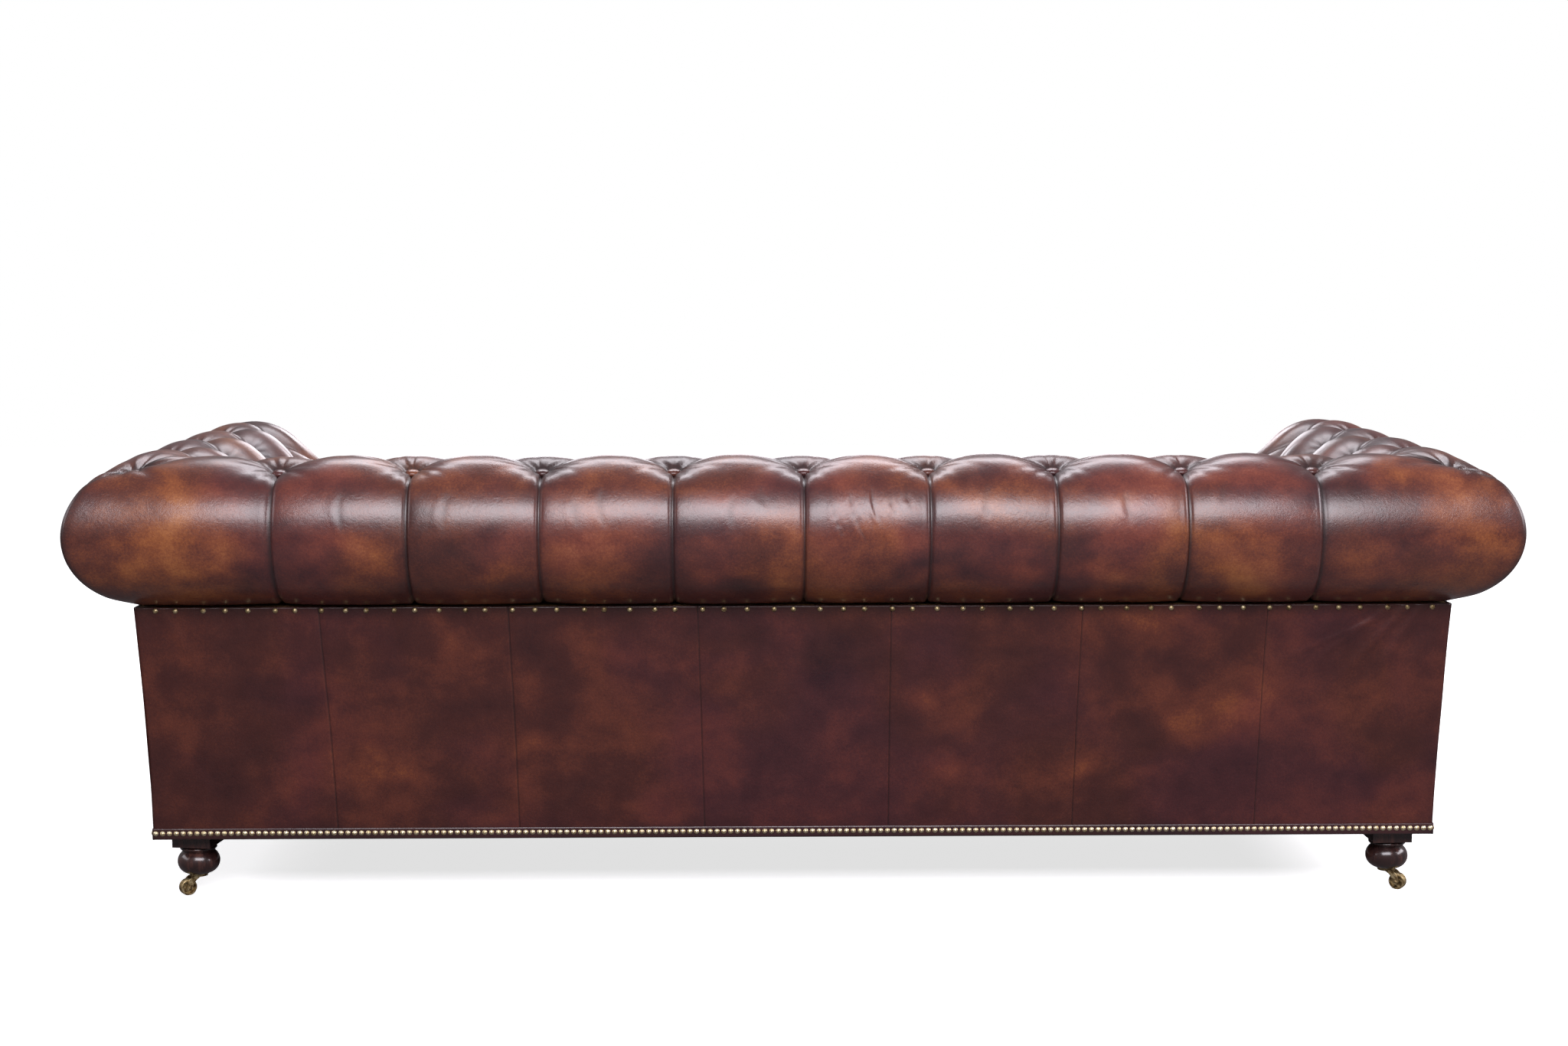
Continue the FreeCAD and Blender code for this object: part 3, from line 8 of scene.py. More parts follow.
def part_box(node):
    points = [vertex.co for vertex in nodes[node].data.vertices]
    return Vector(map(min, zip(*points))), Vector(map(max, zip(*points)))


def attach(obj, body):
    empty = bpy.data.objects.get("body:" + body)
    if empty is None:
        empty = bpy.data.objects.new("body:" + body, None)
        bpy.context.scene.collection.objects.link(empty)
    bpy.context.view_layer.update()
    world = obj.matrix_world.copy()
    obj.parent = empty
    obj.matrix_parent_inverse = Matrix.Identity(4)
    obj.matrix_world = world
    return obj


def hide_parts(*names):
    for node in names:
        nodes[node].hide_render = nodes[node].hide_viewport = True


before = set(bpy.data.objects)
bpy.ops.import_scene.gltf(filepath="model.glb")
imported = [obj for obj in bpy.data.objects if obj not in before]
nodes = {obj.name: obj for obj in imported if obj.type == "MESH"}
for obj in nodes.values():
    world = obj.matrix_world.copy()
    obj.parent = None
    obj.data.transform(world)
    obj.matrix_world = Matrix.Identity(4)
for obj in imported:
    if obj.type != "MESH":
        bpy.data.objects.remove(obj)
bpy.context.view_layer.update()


# Hardwood frame: rails, posts, stretchers and blocks of pale beech, glued and screwed, with plywood
# formers inside the rolls. It shows from below, under the dust cover's edge, and nowhere else.
def paint(red, green, blue):
    """A colour as it looks on a screen, in the light values that a shader takes."""
    levels = [value / 255 for value in (red, green, blue)]
    return tuple(v / 12.92 if v <= 0.04045 else ((v + 0.055) / 1.055) ** 2.4 for v in levels) + (1.0,)


def new_material(name, **sockets):
    """A material with its surface shader's own sockets set; underscores stand for spaces."""
    made = bpy.data.materials.new(name)
    made.use_nodes = True
    surface = made.node_tree.nodes["Principled BSDF"]
    for label, value in sockets.items():
        surface.inputs[label.replace("_", " ")].default_value = value
    return made, made.node_tree, surface


def add(tree, kind, inputs=None, **settings):
    """A shader node. Its inputs are plain values or other nodes' outputs."""
    made = tree.nodes.new("ShaderNode" + kind)
    for label, value in settings.items():
        setattr(made, label, value)
    for label, value in (inputs or {}).items():
        if isinstance(value, bpy.types.NodeSocket):
            tree.links.new(value, made.inputs[label])
        else:
            made.inputs[label].default_value = value
    return made


def maths(tree, operation, first, second=0.0):
    return add(tree, "Math", {0: first, 1: second}, operation=operation).outputs[0]


def blend(tree, share, first, second, how="MIX"):
    made = add(tree, "Mix", data_type="RGBA", blend_type=how)
    for place, value in ((0, share), (6, first), (7, second)):
        if isinstance(value, bpy.types.NodeSocket):
            tree.links.new(value, made.inputs[place])
        else:
            made.inputs[place].default_value = value
    return made.outputs[2]


def shades(tree, factor, *stops):
    """A run of colours along a factor."""
    made = add(tree, "ValToRGB", {"Fac": factor})
    points = made.color_ramp.elements
    while len(points) < len(stops):
        points.new(1.0)
    for point, (place, colour) in zip(points, stops):
        point.position = place
        point.color = colour
    return made.outputs["Color"]


def raised(tree, surface, height, distance, strength=1.0):
    """Feed a height to the surface's normal."""
    bump = add(tree, "Bump", {"Height": height, "Distance": distance, "Strength": strength})
    tree.links.new(bump.outputs["Normal"], surface.inputs["Normal"])


def new_group(name, inputs, outputs):
    """A node group with numbers going in and colours or numbers coming out."""
    group = bpy.data.node_groups.new(name, "ShaderNodeTree")
    for label, value in inputs.items():
        socket = group.interface.new_socket(label, in_out="INPUT", socket_type="NodeSocketFloat")
        socket.default_value = value
    for label in outputs:
        kind = "NodeSocketColor" if label == "Color" else "NodeSocketFloat"
        group.interface.new_socket(label, in_out="OUTPUT", socket_type=kind)
    taken = group.nodes.new("NodeGroupInput").outputs
    given = group.nodes.new("NodeGroupOutput").inputs
    return group, taken, given


def use_group(tree, group, **inputs):
    made = tree.nodes.new("ShaderNodeGroup")
    made.node_tree = group
    for label, value in inputs.items():
        if isinstance(value, bpy.types.NodeSocket):
            tree.links.new(value, made.inputs[label])
        else:
            made.inputs[label].default_value = value
    return made.outputs


def dress(material, *names):
    """Give CAD nodes their material."""
    for name in names:
        node = nodes[name]
        if not node.material_slots:
            node.data.materials.append(material)
        for slot in node.material_slots:
            slot.material = material


def wood_grain():
    """Grain that runs along the longest way of a board, as fine lines and broad figure."""
    group, taken, given = new_group("wood_grain", {"Along_X": 8.0, "Along_Z": 60.0}, ("Figure", "Pores"))
    place = add(group, "TexCoord").outputs["Object"]
    stretch = add(group, "CombineXYZ", {0: taken["Along_X"], 1: 60.0, 2: taken["Along_Z"]}).outputs[0]
    drawn = add(group, "VectorMath", {0: place, 1: stretch}, operation="MULTIPLY").outputs[0]
    figure = add(group, "TexNoise", {"Vector": drawn, "Scale": 0.7, "Detail": 5.0, "Distortion": 0.6})
    pores = add(group, "TexNoise", {"Vector": drawn, "Scale": 14.0, "Detail": 3.0, "Roughness": 0.7})
    group.links.new(figure.outputs["Fac"], given["Figure"])
    group.links.new(pores.outputs["Fac"], given["Pores"])
    return group


GRAIN = wood_grain()


def board_wood(name, light, dark, along_x, along_z):
    made, tree, surface = new_material(name, Roughness=0.62)
    grain = use_group(tree, GRAIN, Along_X=along_x, Along_Z=along_z)
    figure = shades(tree, grain["Figure"], (0.30, dark), (0.70, light))
    lined = blend(tree, shades_value(tree, grain["Pores"], 0.35, 0.65), dark, figure)
    tree.links.new(lined, surface.inputs["Base Color"])
    raised(tree, surface, grain["Pores"], 0.0004)
    return made


def shades_value(tree, factor, low, high):
    """Stretch a factor so that low becomes 0 and high becomes 1."""
    made = add(tree, "MapRange", {"Value": factor, "From Min": low, "From Max": high})
    return made.outputs["Result"]


beech_long = board_wood("beech_long", paint(196, 160, 112), paint(158, 118, 74), 5.0, 60.0)
beech_upright = board_wood("beech_upright", paint(192, 154, 106), paint(150, 112, 70), 60.0, 5.0)
plywood = board_wood("plywood", paint(204, 172, 124), paint(176, 138, 90), 30.0, 30.0)
dress(beech_long, "front_base_rail", "back_base_rail", "left_base_rail", "right_base_rail",
      "seat_stretchers", "corner_blocks", "back_top_rail", "arm_top_rails", "back_nailing_rail",
      "arm_nailing_rails", "back_tuck_rail", "arm_tuck_rails")
dress(beech_upright, "back_posts", "arm_posts")
dress(plywood, "roll_formers")


# Seat springs and clips: zigzag springs of blued steel wire in pressed clips on the two long rails.
def spring_steel():
    made, tree, surface = new_material("spring_steel", Metallic=0.9, Roughness=0.42)
    place = add(tree, "TexCoord").outputs["Object"]
    patches = add(tree, "TexNoise", {"Vector": place, "Scale": 60.0, "Detail": 4.0}).outputs["Fac"]
    colour = shades(tree, patches, (0.35, paint(70, 70, 76)), (0.65, paint(126, 126, 130)))
    tree.links.new(colour, surface.inputs["Base Color"])
    tree.links.new(shades_value(tree, patches, -0.6, 1.4), surface.inputs["Roughness"])
    return made


dress(spring_steel(), "seat_springs", "spring_clips")


# Cloths and padding: hessian and black lining cloth, woven, and cream foam behind the covers.
def woven_threads():
    """Plain weave in all three directions, so that it shows on any face of a sheet."""
    group, taken, given = new_group("woven_threads", {"Threads": 900.0}, ("Weave", "Slub"))
    place = add(group, "TexCoord").outputs["Object"]
    axes = add(group, "SeparateXYZ", {0: place}).outputs
    waves = []
    for axis in axes:
        turned = maths(group, "MULTIPLY", axis, taken["Threads"])
        waves.append(maths(group, "ABSOLUTE", maths(group, "SINE", turned)))
    both = maths(group, "MULTIPLY", waves[0], maths(group, "ADD", waves[1], 0.35))
    all_three = maths(group, "MULTIPLY", both, maths(group, "ADD", waves[2], 0.35))
    slub = add(group, "TexNoise", {"Vector": place, "Scale": 90.0, "Detail": 3.0}).outputs["Fac"]
    group.links.new(all_three, given["Weave"])
    group.links.new(slub, given["Slub"])
    return group


THREADS = woven_threads()


def cloth(name, low, high, threads, depth):
    made, tree, surface = new_material(name, Roughness=0.92, Specular_IOR_Level=0.2)
    weave = use_group(tree, THREADS, Threads=threads)
    tone = maths(tree, "ADD", maths(tree, "MULTIPLY", weave["Weave"], 0.6), weave["Slub"])
    tree.links.new(shades(tree, tone, (0.35, low), (1.0, high)), surface.inputs["Base Color"])
    raised(tree, surface, weave["Weave"], depth)
    return made


hessian = cloth("hessian", paint(126, 98, 62), paint(186, 154, 108), 1400.0, 0.0006)
lining = cloth("black_lining", paint(22, 21, 22), paint(52, 50, 52), 2600.0, 0.0003)


def foam():
    made, tree, surface = new_material("foam_padding", Roughness=0.95, Specular_IOR_Level=0.1)
    place = add(tree, "TexCoord").outputs["Object"]
    cells = add(tree, "TexVoronoi", {"Vector": place, "Scale": 420.0}).outputs["Distance"]
    colour = shades(tree, cells, (0.1, paint(186, 168, 128)), (0.7, paint(222, 208, 172)))
    tree.links.new(colour, surface.inputs["Base Color"])
    raised(tree, surface, cells, 0.0008)
    return made


dress(hessian, "inside_hessian", "spring_cloth")
dress(lining, "dust_cover")
dress(foam(), "back_padding", "left_arm_padding", "right_arm_padding")


# Leather: hide dyed by hand in layers, mottled amber, chestnut and dark umber. Its colour is painted
# lighter on the puffs' crests as a painted highlight and near-black in the folds as painted shade. All the
# upholstery is cut from it.
def antique_dye_and_painted_light():
    """Colour, roughness and grain of the hide. Crest is 1 on a puff's top and lightens it, a painted
    highlight; Fold is 1 in a crease and darkens it, painted shade.
    """
    group, taken, given = new_group(
        "antique_dye_and_painted_light", {"Crest": 0.5, "Fold": 0.0, "Tone": 0.5, "Variety": 1.0},
        ("Color", "Roughness", "Height"),
    )
    place = add(group, "TexCoord").outputs["Object"]
    wiped = add(group, "VectorMath", {0: place, 1: (1.0, 1.0, 1.5)}, operation="MULTIPLY").outputs[0]
    cloud = add(group, "TexNoise", {"Vector": wiped, "Scale": 7.0, "Detail": 2.0, "Distortion": 0.35})
    dabs = add(group, "TexNoise", {"Vector": place, "Scale": 24.0, "Detail": 5.0, "Roughness": 0.58})
    specks = add(group, "TexNoise", {"Vector": place, "Scale": 260.0, "Detail": 4.0, "Roughness": 0.8})
    hue = add(group, "TexNoise", {"Vector": place, "Scale": 4.0, "Detail": 2.0, "Distortion": 0.4})
    mixed = maths(group, "ADD", maths(group, "MULTIPLY", cloud.outputs["Fac"], 1.05),
                  maths(group, "MULTIPLY", dabs.outputs["Fac"], 0.45))
    mixed = maths(group, "SUBTRACT", mixed, 0.75)
    mixed = maths(group, "ADD", mixed, maths(group, "MULTIPLY", maths(
        group, "SUBTRACT", specks.outputs["Fac"], 0.5), 0.60))
    mixed = maths(group, "MULTIPLY", mixed, taken["Variety"])
    # Lighter on the crests: painted highlight.
    high = maths(group, "MULTIPLY", maths(group, "SUBTRACT", taken["Crest"], 0.5), 0.16)
    tone = maths(group, "ADD", maths(group, "ADD", mixed, taken["Tone"]), high)
    warm = shades(
        group, tone, (0.10, paint(44, 22, 24)), (0.34, paint(68, 34, 30)), (0.50, paint(94, 48, 36)),
        (0.66, paint(130, 72, 42)), (0.86, paint(164, 102, 56)),
    )
    cool = shades(
        group, tone, (0.10, paint(42, 22, 28)), (0.34, paint(68, 34, 36)), (0.50, paint(90, 44, 40)),
        (0.66, paint(116, 58, 46)), (0.86, paint(148, 86, 62)),
    )
    body = blend(group, shades_value(group, hue.outputs["Fac"], 0.42, 0.60), warm, cool)
    # Near-black where Fold is high: painted shade in creases, pits and under the roll.
    folded = maths(group, "MULTIPLY", taken["Fold"], 0.82)
    given_colour = blend(group, folded, body, paint(26, 14, 15))
    group.links.new(given_colour, given["Color"])
    shine = maths(group, "ADD", maths(group, "MULTIPLY", dabs.outputs["Fac"], 0.20), 0.22)
    shine = maths(group, "ADD", shine, maths(group, "MULTIPLY", taken["Fold"], 0.2))
    group.links.new(shine, given["Roughness"])
    pebbles = add(group, "TexVoronoi", {"Vector": place, "Scale": 620.0, "Randomness": 1.0},
                  feature="SMOOTH_F1").outputs["Distance"]
    slack = add(group, "TexNoise", {"Vector": place, "Scale": 85.0, "Detail": 3.0, "Distortion": 1.2})
    height = maths(group, "ADD", maths(group, "MULTIPLY", pebbles, -0.35),
                   maths(group, "MULTIPLY", slack.outputs["Fac"], 1.1))
    group.links.new(height, given["Height"])
    return group


ANTIQUE_AND_LIGHT = antique_dye_and_painted_light()


def leather(name, tone, variety, crest=None, polish=0.45):
    """One cutting of the hide. Formed covers carry how high and how folded each place is, for the painted
    highlight on the crests and the painted shade in the folds.
    """
    made, tree, surface = new_material(
        name, Specular_IOR_Level=0.28 + 0.5 * polish, Coat_Roughness=0.26, Coat_Weight=polish)
    values = {"Tone": tone, "Variety": variety}
    if crest is None:
        values["Crest"] = add(tree, "Attribute", attribute_name="crest").outputs["Fac"]
        values["Fold"] = add(tree, "Attribute", attribute_name="fold").outputs["Fac"]
    else:
        values["Crest"] = crest
    hide = use_group(tree, ANTIQUE_AND_LIGHT, **values)
    tree.links.new(hide["Color"], surface.inputs["Base Color"])
    tree.links.new(hide["Roughness"], surface.inputs["Roughness"])
    raised(tree, surface, hide["Height"], 0.0007, 0.55)
    return made


roll_leather = leather("roll_leather", 0.46, 0.85)
# The same hide at a darker tone for the outside panels, border and deck: painted shade.
shaded_panel_leather = leather("shaded_panel_leather", 0.36, 0.60, polish=0.12)
button_leather = leather("button_leather", 0.42, 0.7, crest=0.5)


# Rolled covers: the hide goes over wadding from the nails under the roll, over its crest and down
# the inside to the seat, in one piece for the back and one for each arm. Buttons and pleats draw it
# in, the corners are mitred and sewn, and the arms' front edges are pulled flat under the facings.
ARM_LINE, BACK_LINE, ROLL_UP, ROLL = 1.112, 0.3625, 0.658, 0.132
ARM_END = 0.834
COVER_LAYER = 0.042
ROW_STEP = 0.0045
COLUMN_STEP, FINE_STEP = 0.0056, 0.0026
BACK_PITCH, ARM_PITCH = 0.2234, 0.215
FLAT_LENGTH = 0.07
TOP_DEPTH, BUTTON_DEPTH = 0.028, 0.032
PLEAT_PLACES = (-1.112, -0.897, -0.669, -0.446, -0.229, -0.014, 0.210, 0.437, 0.661, 0.890, 1.112)
ARM_PLEATS = (0.0, 0.215, 0.430, 0.645, ARM_END)


def on_roll(angle, radius=ROLL):
    angle = math.radians(angle)
    return (radius * math.cos(angle), ROLL_UP + radius * math.sin(angle))


def halfway(low, high):
    return ((low[0] + high[0]) / 2 - 0.003, (low[1] + high[1]) / 2)


FACE = ((-0.163, 0.683), (-0.184, 0.577), (-0.195, 0.475), (-0.178, 0.3303))
KNOTS = np.array(
    [on_roll(-75 + 18.75 * step) for step in range(9)]
    + [on_roll(98.5), on_roll(122), (-0.124, 0.724), FACE[0], halfway(FACE[0], FACE[1]), FACE[1],
       halfway(FACE[1], FACE[2]), FACE[2], halfway(FACE[2], FACE[3]), FACE[3]]
)


def along_path(rows):
    """The section's smooth line at these rows: its places and the way into the wadding."""
    at = np.clip((rows + 4) * 2, 0, len(KNOTS) - 1.0001)
    first = at.astype(int)
    share = (at - first)[:, None]
    before, start = KNOTS[np.maximum(first - 1, 0)], KNOTS[first]
    end, after = KNOTS[first + 1], KNOTS[np.minimum(first + 2, len(KNOTS) - 1)]
    square = 2 * before - 5 * start + 4 * end - after
    cube = 3 * start - before - 3 * end + after
    place = 0.5 * (2 * start + (end - before) * share + square * share ** 2 + cube * share ** 3)
    slope = end - before + 2 * square * share + 3 * cube * share ** 2
    slope /= np.linalg.norm(slope, axis=1)[:, None]
    return place, np.stack([-slope[:, 1], slope[:, 0]], axis=1)


def even_rows(step):
    """Rows at an even distance along the line, and that distance from row 0."""
    fine = np.linspace(-4, 5, 3000)
    place, inward = along_path(fine)
    far = np.concatenate([[0], np.cumsum(np.linalg.norm(np.diff(place, axis=0), axis=1))])
    count = int(far[-1] / step)
    even = np.linspace(0, far[-1], count)
    rows = np.interp(even, far, fine)
    return rows, even - np.interp(0, fine, far)


def crease(value):
    return np.sin(np.pi * np.abs(value - np.round(value)))


def eased(share):
    """From 0 to 1 with a soft start and a soft end."""
    share = np.clip(share, 0, 1)
    return share * share * (3 - 2 * share)


def swell(height, fullness):
    """A puff's rise from its crease, with a rounded bottom so that the fold stays soft."""
    rounded = np.sqrt(height ** 2 + 0.0025) - 0.05
    return (rounded / 0.951) ** fullness


def rise(one, other):
    return np.clip(1 - 0.45 * (one + other) - 0.1 * one * other, 0, 1) ** 1.3


def waves(first, second, seed, size):
    """Slow unevenness of hand-laid wadding, the same in every run."""
    total = np.zeros(np.broadcast(first, second).shape)
    for step in range(1, 6):
        angle = seed * 1.7 + step * 2.4
        turn_a, turn_b = math.cos(angle), math.sin(angle)
        total += np.sin((first * turn_a + second * turn_b) * (1.2 + 0.9 * step) / size + seed * step) / step
    return total / 2.3


def drawn_in(column, row, far_u, far_v, pitch, seed):
    """How deep each place of a cover is drawn in, with its crest and fold for the leather, which paint a
    highlight on the puffs and shade in the creases.
    """
    one, other = crease(column - row / 2), crease(column + row / 2)
    deepest = TOP_DEPTH + (BUTTON_DEPTH - TOP_DEPTH) * np.clip(row, 0, 1)
    tufted = rise(swell(one, 0.86), swell(other, 0.86))
    tufts = deepest * tufted
    straight = crease(column)
    low = 0.009 - 0.004 * np.clip((-row - 1) / 3, 0, 1)
    near = eased(-row)
    outer_depth = TOP_DEPTH * (1 - near) + low * near
    sharper = 0.80 - 0.38 * near
    puff = rise(swell(straight, sharper), swell(straight, sharper))
    off = (column - np.round(column)) * pitch
    line = np.exp(-(off / 0.0028) ** 2)
    lip = np.exp(-((off - 0.0075) / 0.0055) ** 2)
    pleats = outer_depth * puff + 0.0030 * line - 0.0012 * lip * near
    lower = crease(column - 0.5)
    drop = np.maximum(row - 3, 0)
    off_low = (column - 0.5 - np.round(column - 0.5)) * pitch
    low_line = np.exp(-(off_low / 0.0032) ** 2)
    seat_pleats = (0.009 + 0.023 * np.exp(-3.0 * drop)) * rise(swell(lower, 0.8), swell(lower, 0.8))
    seat_pleats = seat_pleats + 0.0025 * low_line
    depth = np.where(row < 0, pleats, np.where(row > 3, seat_pleats, tufts))
    # Fold: painted shade along pleat lines, in creases and down the puffs' sides. Crest: painted highlight on
    # the puff tops.
    fold = np.where(row < 0, 0.75 * line + 0.5 * puff * (1 - near) + 0.22 * puff,
                    np.where(row > 3, 0.8 * low_line + 0.25 * (1 - lower), tufted ** 0.9))
    crest = np.where(row < 0, 1 - 0.75 * puff, 1 - tufted)
    depth = depth + 0.0012 * waves(far_u, far_v, seed, 0.10)
    return depth, crest, fold


def press_buttons(depth, fold, far_u, far_v, buttons):
    """Sink a round seat for each button and gather the hide round it in small radial puckers."""
    for number, (at_u, at_v, deep, fan) in enumerate(buttons):
        across, along = far_u - at_u, far_v - at_v
        reach = np.hypot(across, along)
        close = reach < 0.13 * fan
        number = number if fan == 1.0 else 0
        r = reach[close]
        turn = np.arctan2(along[close], across[close])
        seat = np.exp(-(r / 0.0145) ** 4)
        here = depth[close] * (1 - seat) + deep * seat
        count = 11 + number % 4
        bent = turn + 2.0 * (r - 0.02) * math.sin(number * 1.7)
        pucker = np.cos(count * bent + number * 1.9) + 0.6 * np.cos((count + 5) * bent + number)
        pucker = pucker - 0.35 * pucker ** 2
        strength = 0.0016 * fan * np.clip((r - 0.011) / 0.012, 0, 1)
        strength = strength * np.exp(-np.clip(r - 0.02, 0, 1) / (0.027 * fan))
        depth[close] = here - strength * pucker
        # Darker in each button's seat and in the puckers' grooves: painted shade.
        fold[close] = np.clip(fold[close] + 0.9 * seat + 220 * strength * np.maximum(pucker, 0), 0, 1)


def line_fold(depth, fold, far_u, far_v, start, end, deep, width):
    """One slack fold of the hide between two places, with a lip on its one side."""
    way = np.array(end) - np.array(start)
    length = np.hypot(*way)
    way = way / length
    along = (far_u - start[0]) * way[0] + (far_v - start[1]) * way[1]
    across = (far_u - start[0]) * -way[1] + (far_v - start[1]) * way[0]
    bow = 0.08 * length * np.sin(np.pi * np.clip(along / length, 0, 1))
    across = across - bow
    ends = np.clip(along / length * 4, 0, 1) * np.clip((length - along) / length * 4, 0, 1)
    groove = np.exp(-(across / width) ** 2)
    ridge = np.exp(-((across - 1.8 * width) / (1.3 * width)) ** 2)
    depth += deep * ends * (groove - 0.8 * ridge)
    # Darker in the fold's groove: painted shade.
    fold += 0.35 * ends * groove


def layered(name, outer, inner, marks, caps=True):
    """A closed piece: the outer grid, a plainer inner grid, and what joins their edges."""
    count_u, count_v = outer.shape[:2]
    inner_v = inner.shape[1]
    points = np.concatenate([outer.reshape(-1, 3), inner.reshape(-1, 3)])
    base = count_u * count_v

    def quads(start, rows, flip):
        u, v = np.meshgrid(np.arange(count_u - 1), np.arange(rows - 1), indexing="ij")
        corner = start + u * rows + v
        faces = np.stack([corner, corner + rows, corner + rows + 1, corner + 1], axis=-1).reshape(-1, 4)
        return faces[:, ::-1] if flip else faces

    faces = quads(0, count_v, False).tolist() + quads(base, inner_v, True).tolist()
    for u in range(count_u - 1):
        low, after = u * count_v, (u + 1) * count_v
        in_low, in_after = base + u * inner_v, base + (u + 1) * inner_v
        faces.append([low, in_low, in_after, after])
        faces.append([low + count_v - 1, after + count_v - 1, in_after + inner_v - 1, in_low + inner_v - 1])
    if caps:
        for u, flip in ((0, False), (count_u - 1, True)):
            ring = [u * count_v + v for v in range(count_v)]
            ring += [base + u * inner_v + v for v in reversed(range(inner_v))]
            faces.append(ring[::-1] if flip else ring)
    return new_piece(name, points, faces, {k: np.concatenate([v.ravel(), np.zeros(len(points) - base)])
                                           for k, v in marks.items()})


def new_piece(name, points, faces, marks=None):
    """A smooth mesh object with its faces turned outwards."""
    mesh = bpy.data.meshes.new(name)
    mesh.from_pydata([tuple(point) for point in points], [], faces)
    for label, values in (marks or {}).items():
        layer = mesh.attributes.new(label, "FLOAT", "POINT")
        layer.data.foreach_set("value", np.ascontiguousarray(values, dtype=np.float32))
    mesh.update()
    if volume_of(mesh) < 0:
        mesh.flip_normals()
    mesh.shade_smooth()
    piece = bpy.data.objects.new(name, mesh)
    bpy.context.collection.objects.link(piece)
    return piece


def places_of(mesh):
    places = np.empty(len(mesh.vertices) * 3)
    mesh.vertices.foreach_get("co", places)
    return places.reshape(-1, 3)


def volume_of(mesh):
    mesh.calc_loop_triangles()
    corners = np.empty(len(mesh.loop_triangles) * 3, dtype=np.int32)
    mesh.loop_triangles.foreach_get("vertices", corners)
    tri = places_of(mesh)[corners.reshape(-1, 3)]
    return float(np.einsum("ij,ij->i", tri[:, 0], np.cross(tri[:, 1], tri[:, 2])).sum())


def fit(piece, material, slot, *replaced, body="sofa"):
    """Give a piece its leather or other finish, and let it stand for its CAD nodes."""
    piece.data.materials.append(material)
    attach(piece, body)
    if replaced:
        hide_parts(*replaced)
    return piece


def back_spot(flat, share, side, out, up):
    """A place of the back's section; share swings it round to the mitre."""
    across = np.abs(flat) * (1 - share) + (ARM_LINE + out) * share
    return np.stack([np.where(share > 0, side * across, flat + 0 * out), BACK_LINE + out, up + 0 * share], -1)


def arm_spot(far, share, side, out, up):
    along = -far * (1 - share) + out * share
    return np.stack([side * (ARM_LINE + out), BACK_LINE + along, up + 0 * share], -1)


def stations(columns, step, fine):
    """Column values closer together near the pleats and buttons."""
    dense = np.linspace(columns[0], columns[-1], 4000)
    near = np.abs(dense * 2 - np.round(dense * 2)) / 2 * 0.22
    weight = 1 / (fine + (step - fine) * np.clip(near / 0.03, 0, 1))
    total = np.concatenate([[0], np.cumsum((weight[1:] + weight[:-1]) / 2 * np.diff(dense))])
    count = int(total[-1] * 0.22)
    marks = np.interp(np.linspace(0, total[-1], count), total, dense)
    for whole in np.arange(np.ceil(columns[0]), columns[-1] + 1e-6, 0.5):
        marks[np.abs(marks - whole).argmin()] = whole
    return marks


ROWS, FAR_V = even_rows(ROW_STEP)
LINE, INWARD = along_path(ROWS)
INNER_ROWS = np.linspace(-4, 5, 19)
INNER_LINE, INNER_INWARD = along_path(INNER_ROWS)
INNER_LINE = INNER_LINE + INNER_INWARD * COVER_LAYER


def row_far(row):
    return float(np.interp(row, ROWS, FAR_V))


def cover(name, column, far_u, share, spot, buttons, pitch, seed, flat_end=None, folds=()):
    """A whole cover from its stations: column number, distance along, and share of the corner."""
    shape = (len(column), len(ROWS))
    grid_column = np.broadcast_to(column[:, None], shape)
    grid_u = np.broadcast_to(far_u[:, None], shape)
    grid_v = np.broadcast_to(FAR_V[None, :], shape)
    grid_row = np.broadcast_to(ROWS[None, :], shape)
    depth, crest, fold = drawn_in(grid_column, grid_row, grid_u, grid_v, pitch, seed)
    depth, fold = depth.copy(), fold.copy()
    corner = share[:, None]
    seam = np.exp(-((1 - corner) / 0.03) ** 2)
    mitred = np.clip((corner - 0.5) * 3, 0, 1)
    outer_side = eased((-0.10 - grid_row) / 0.9) * mitred
    depth = depth * (1 - outer_side) + outer_side * (0.0008 + 0.0022 * seam)
    inner_side = (grid_row > 1) * mitred
    depth = depth * (1 - inner_side) + inner_side * (0.009 + 0.010 * seam)
    fold = fold * (1 - outer_side) * (1 - inner_side) + seam * 0.7
    press_buttons(depth, fold, grid_u, grid_v, buttons)
    for start, end, deep, width in folds:
        line_fold(depth, fold, grid_u, grid_v, start, end, deep, width)
    if flat_end is not None:
        pulled = eased((grid_u - (flat_end - FLAT_LENGTH)) / FLAT_LENGTH)
        depth = depth * (1 - pulled) + 0.005 * pulled
        # A darker strip where the cover meets the facing: painted shade.
        fold = fold * (1 - pulled) + 0.5 * np.clip((pulled - 0.8) * 5, 0, 1)
    out = LINE[None, :, 0] + INWARD[None, :, 0] * depth
    up = LINE[None, :, 1] + INWARD[None, :, 1] * depth
    outer = spot(column[:, None], far_u[:, None], corner, out, up)
    inner_out = np.broadcast_to(INNER_LINE[None, :, 0], (len(column), len(INNER_ROWS)))
    inner_up = np.broadcast_to(INNER_LINE[None, :, 1], (len(column), len(INNER_ROWS)))
    inner = spot(column[:, None], far_u[:, None], corner, inner_out, inner_up)
    marks = {"crest": np.clip(crest, 0, 1), "fold": np.clip(fold, 0, 1)}
    return layered(name, outer, inner, marks)


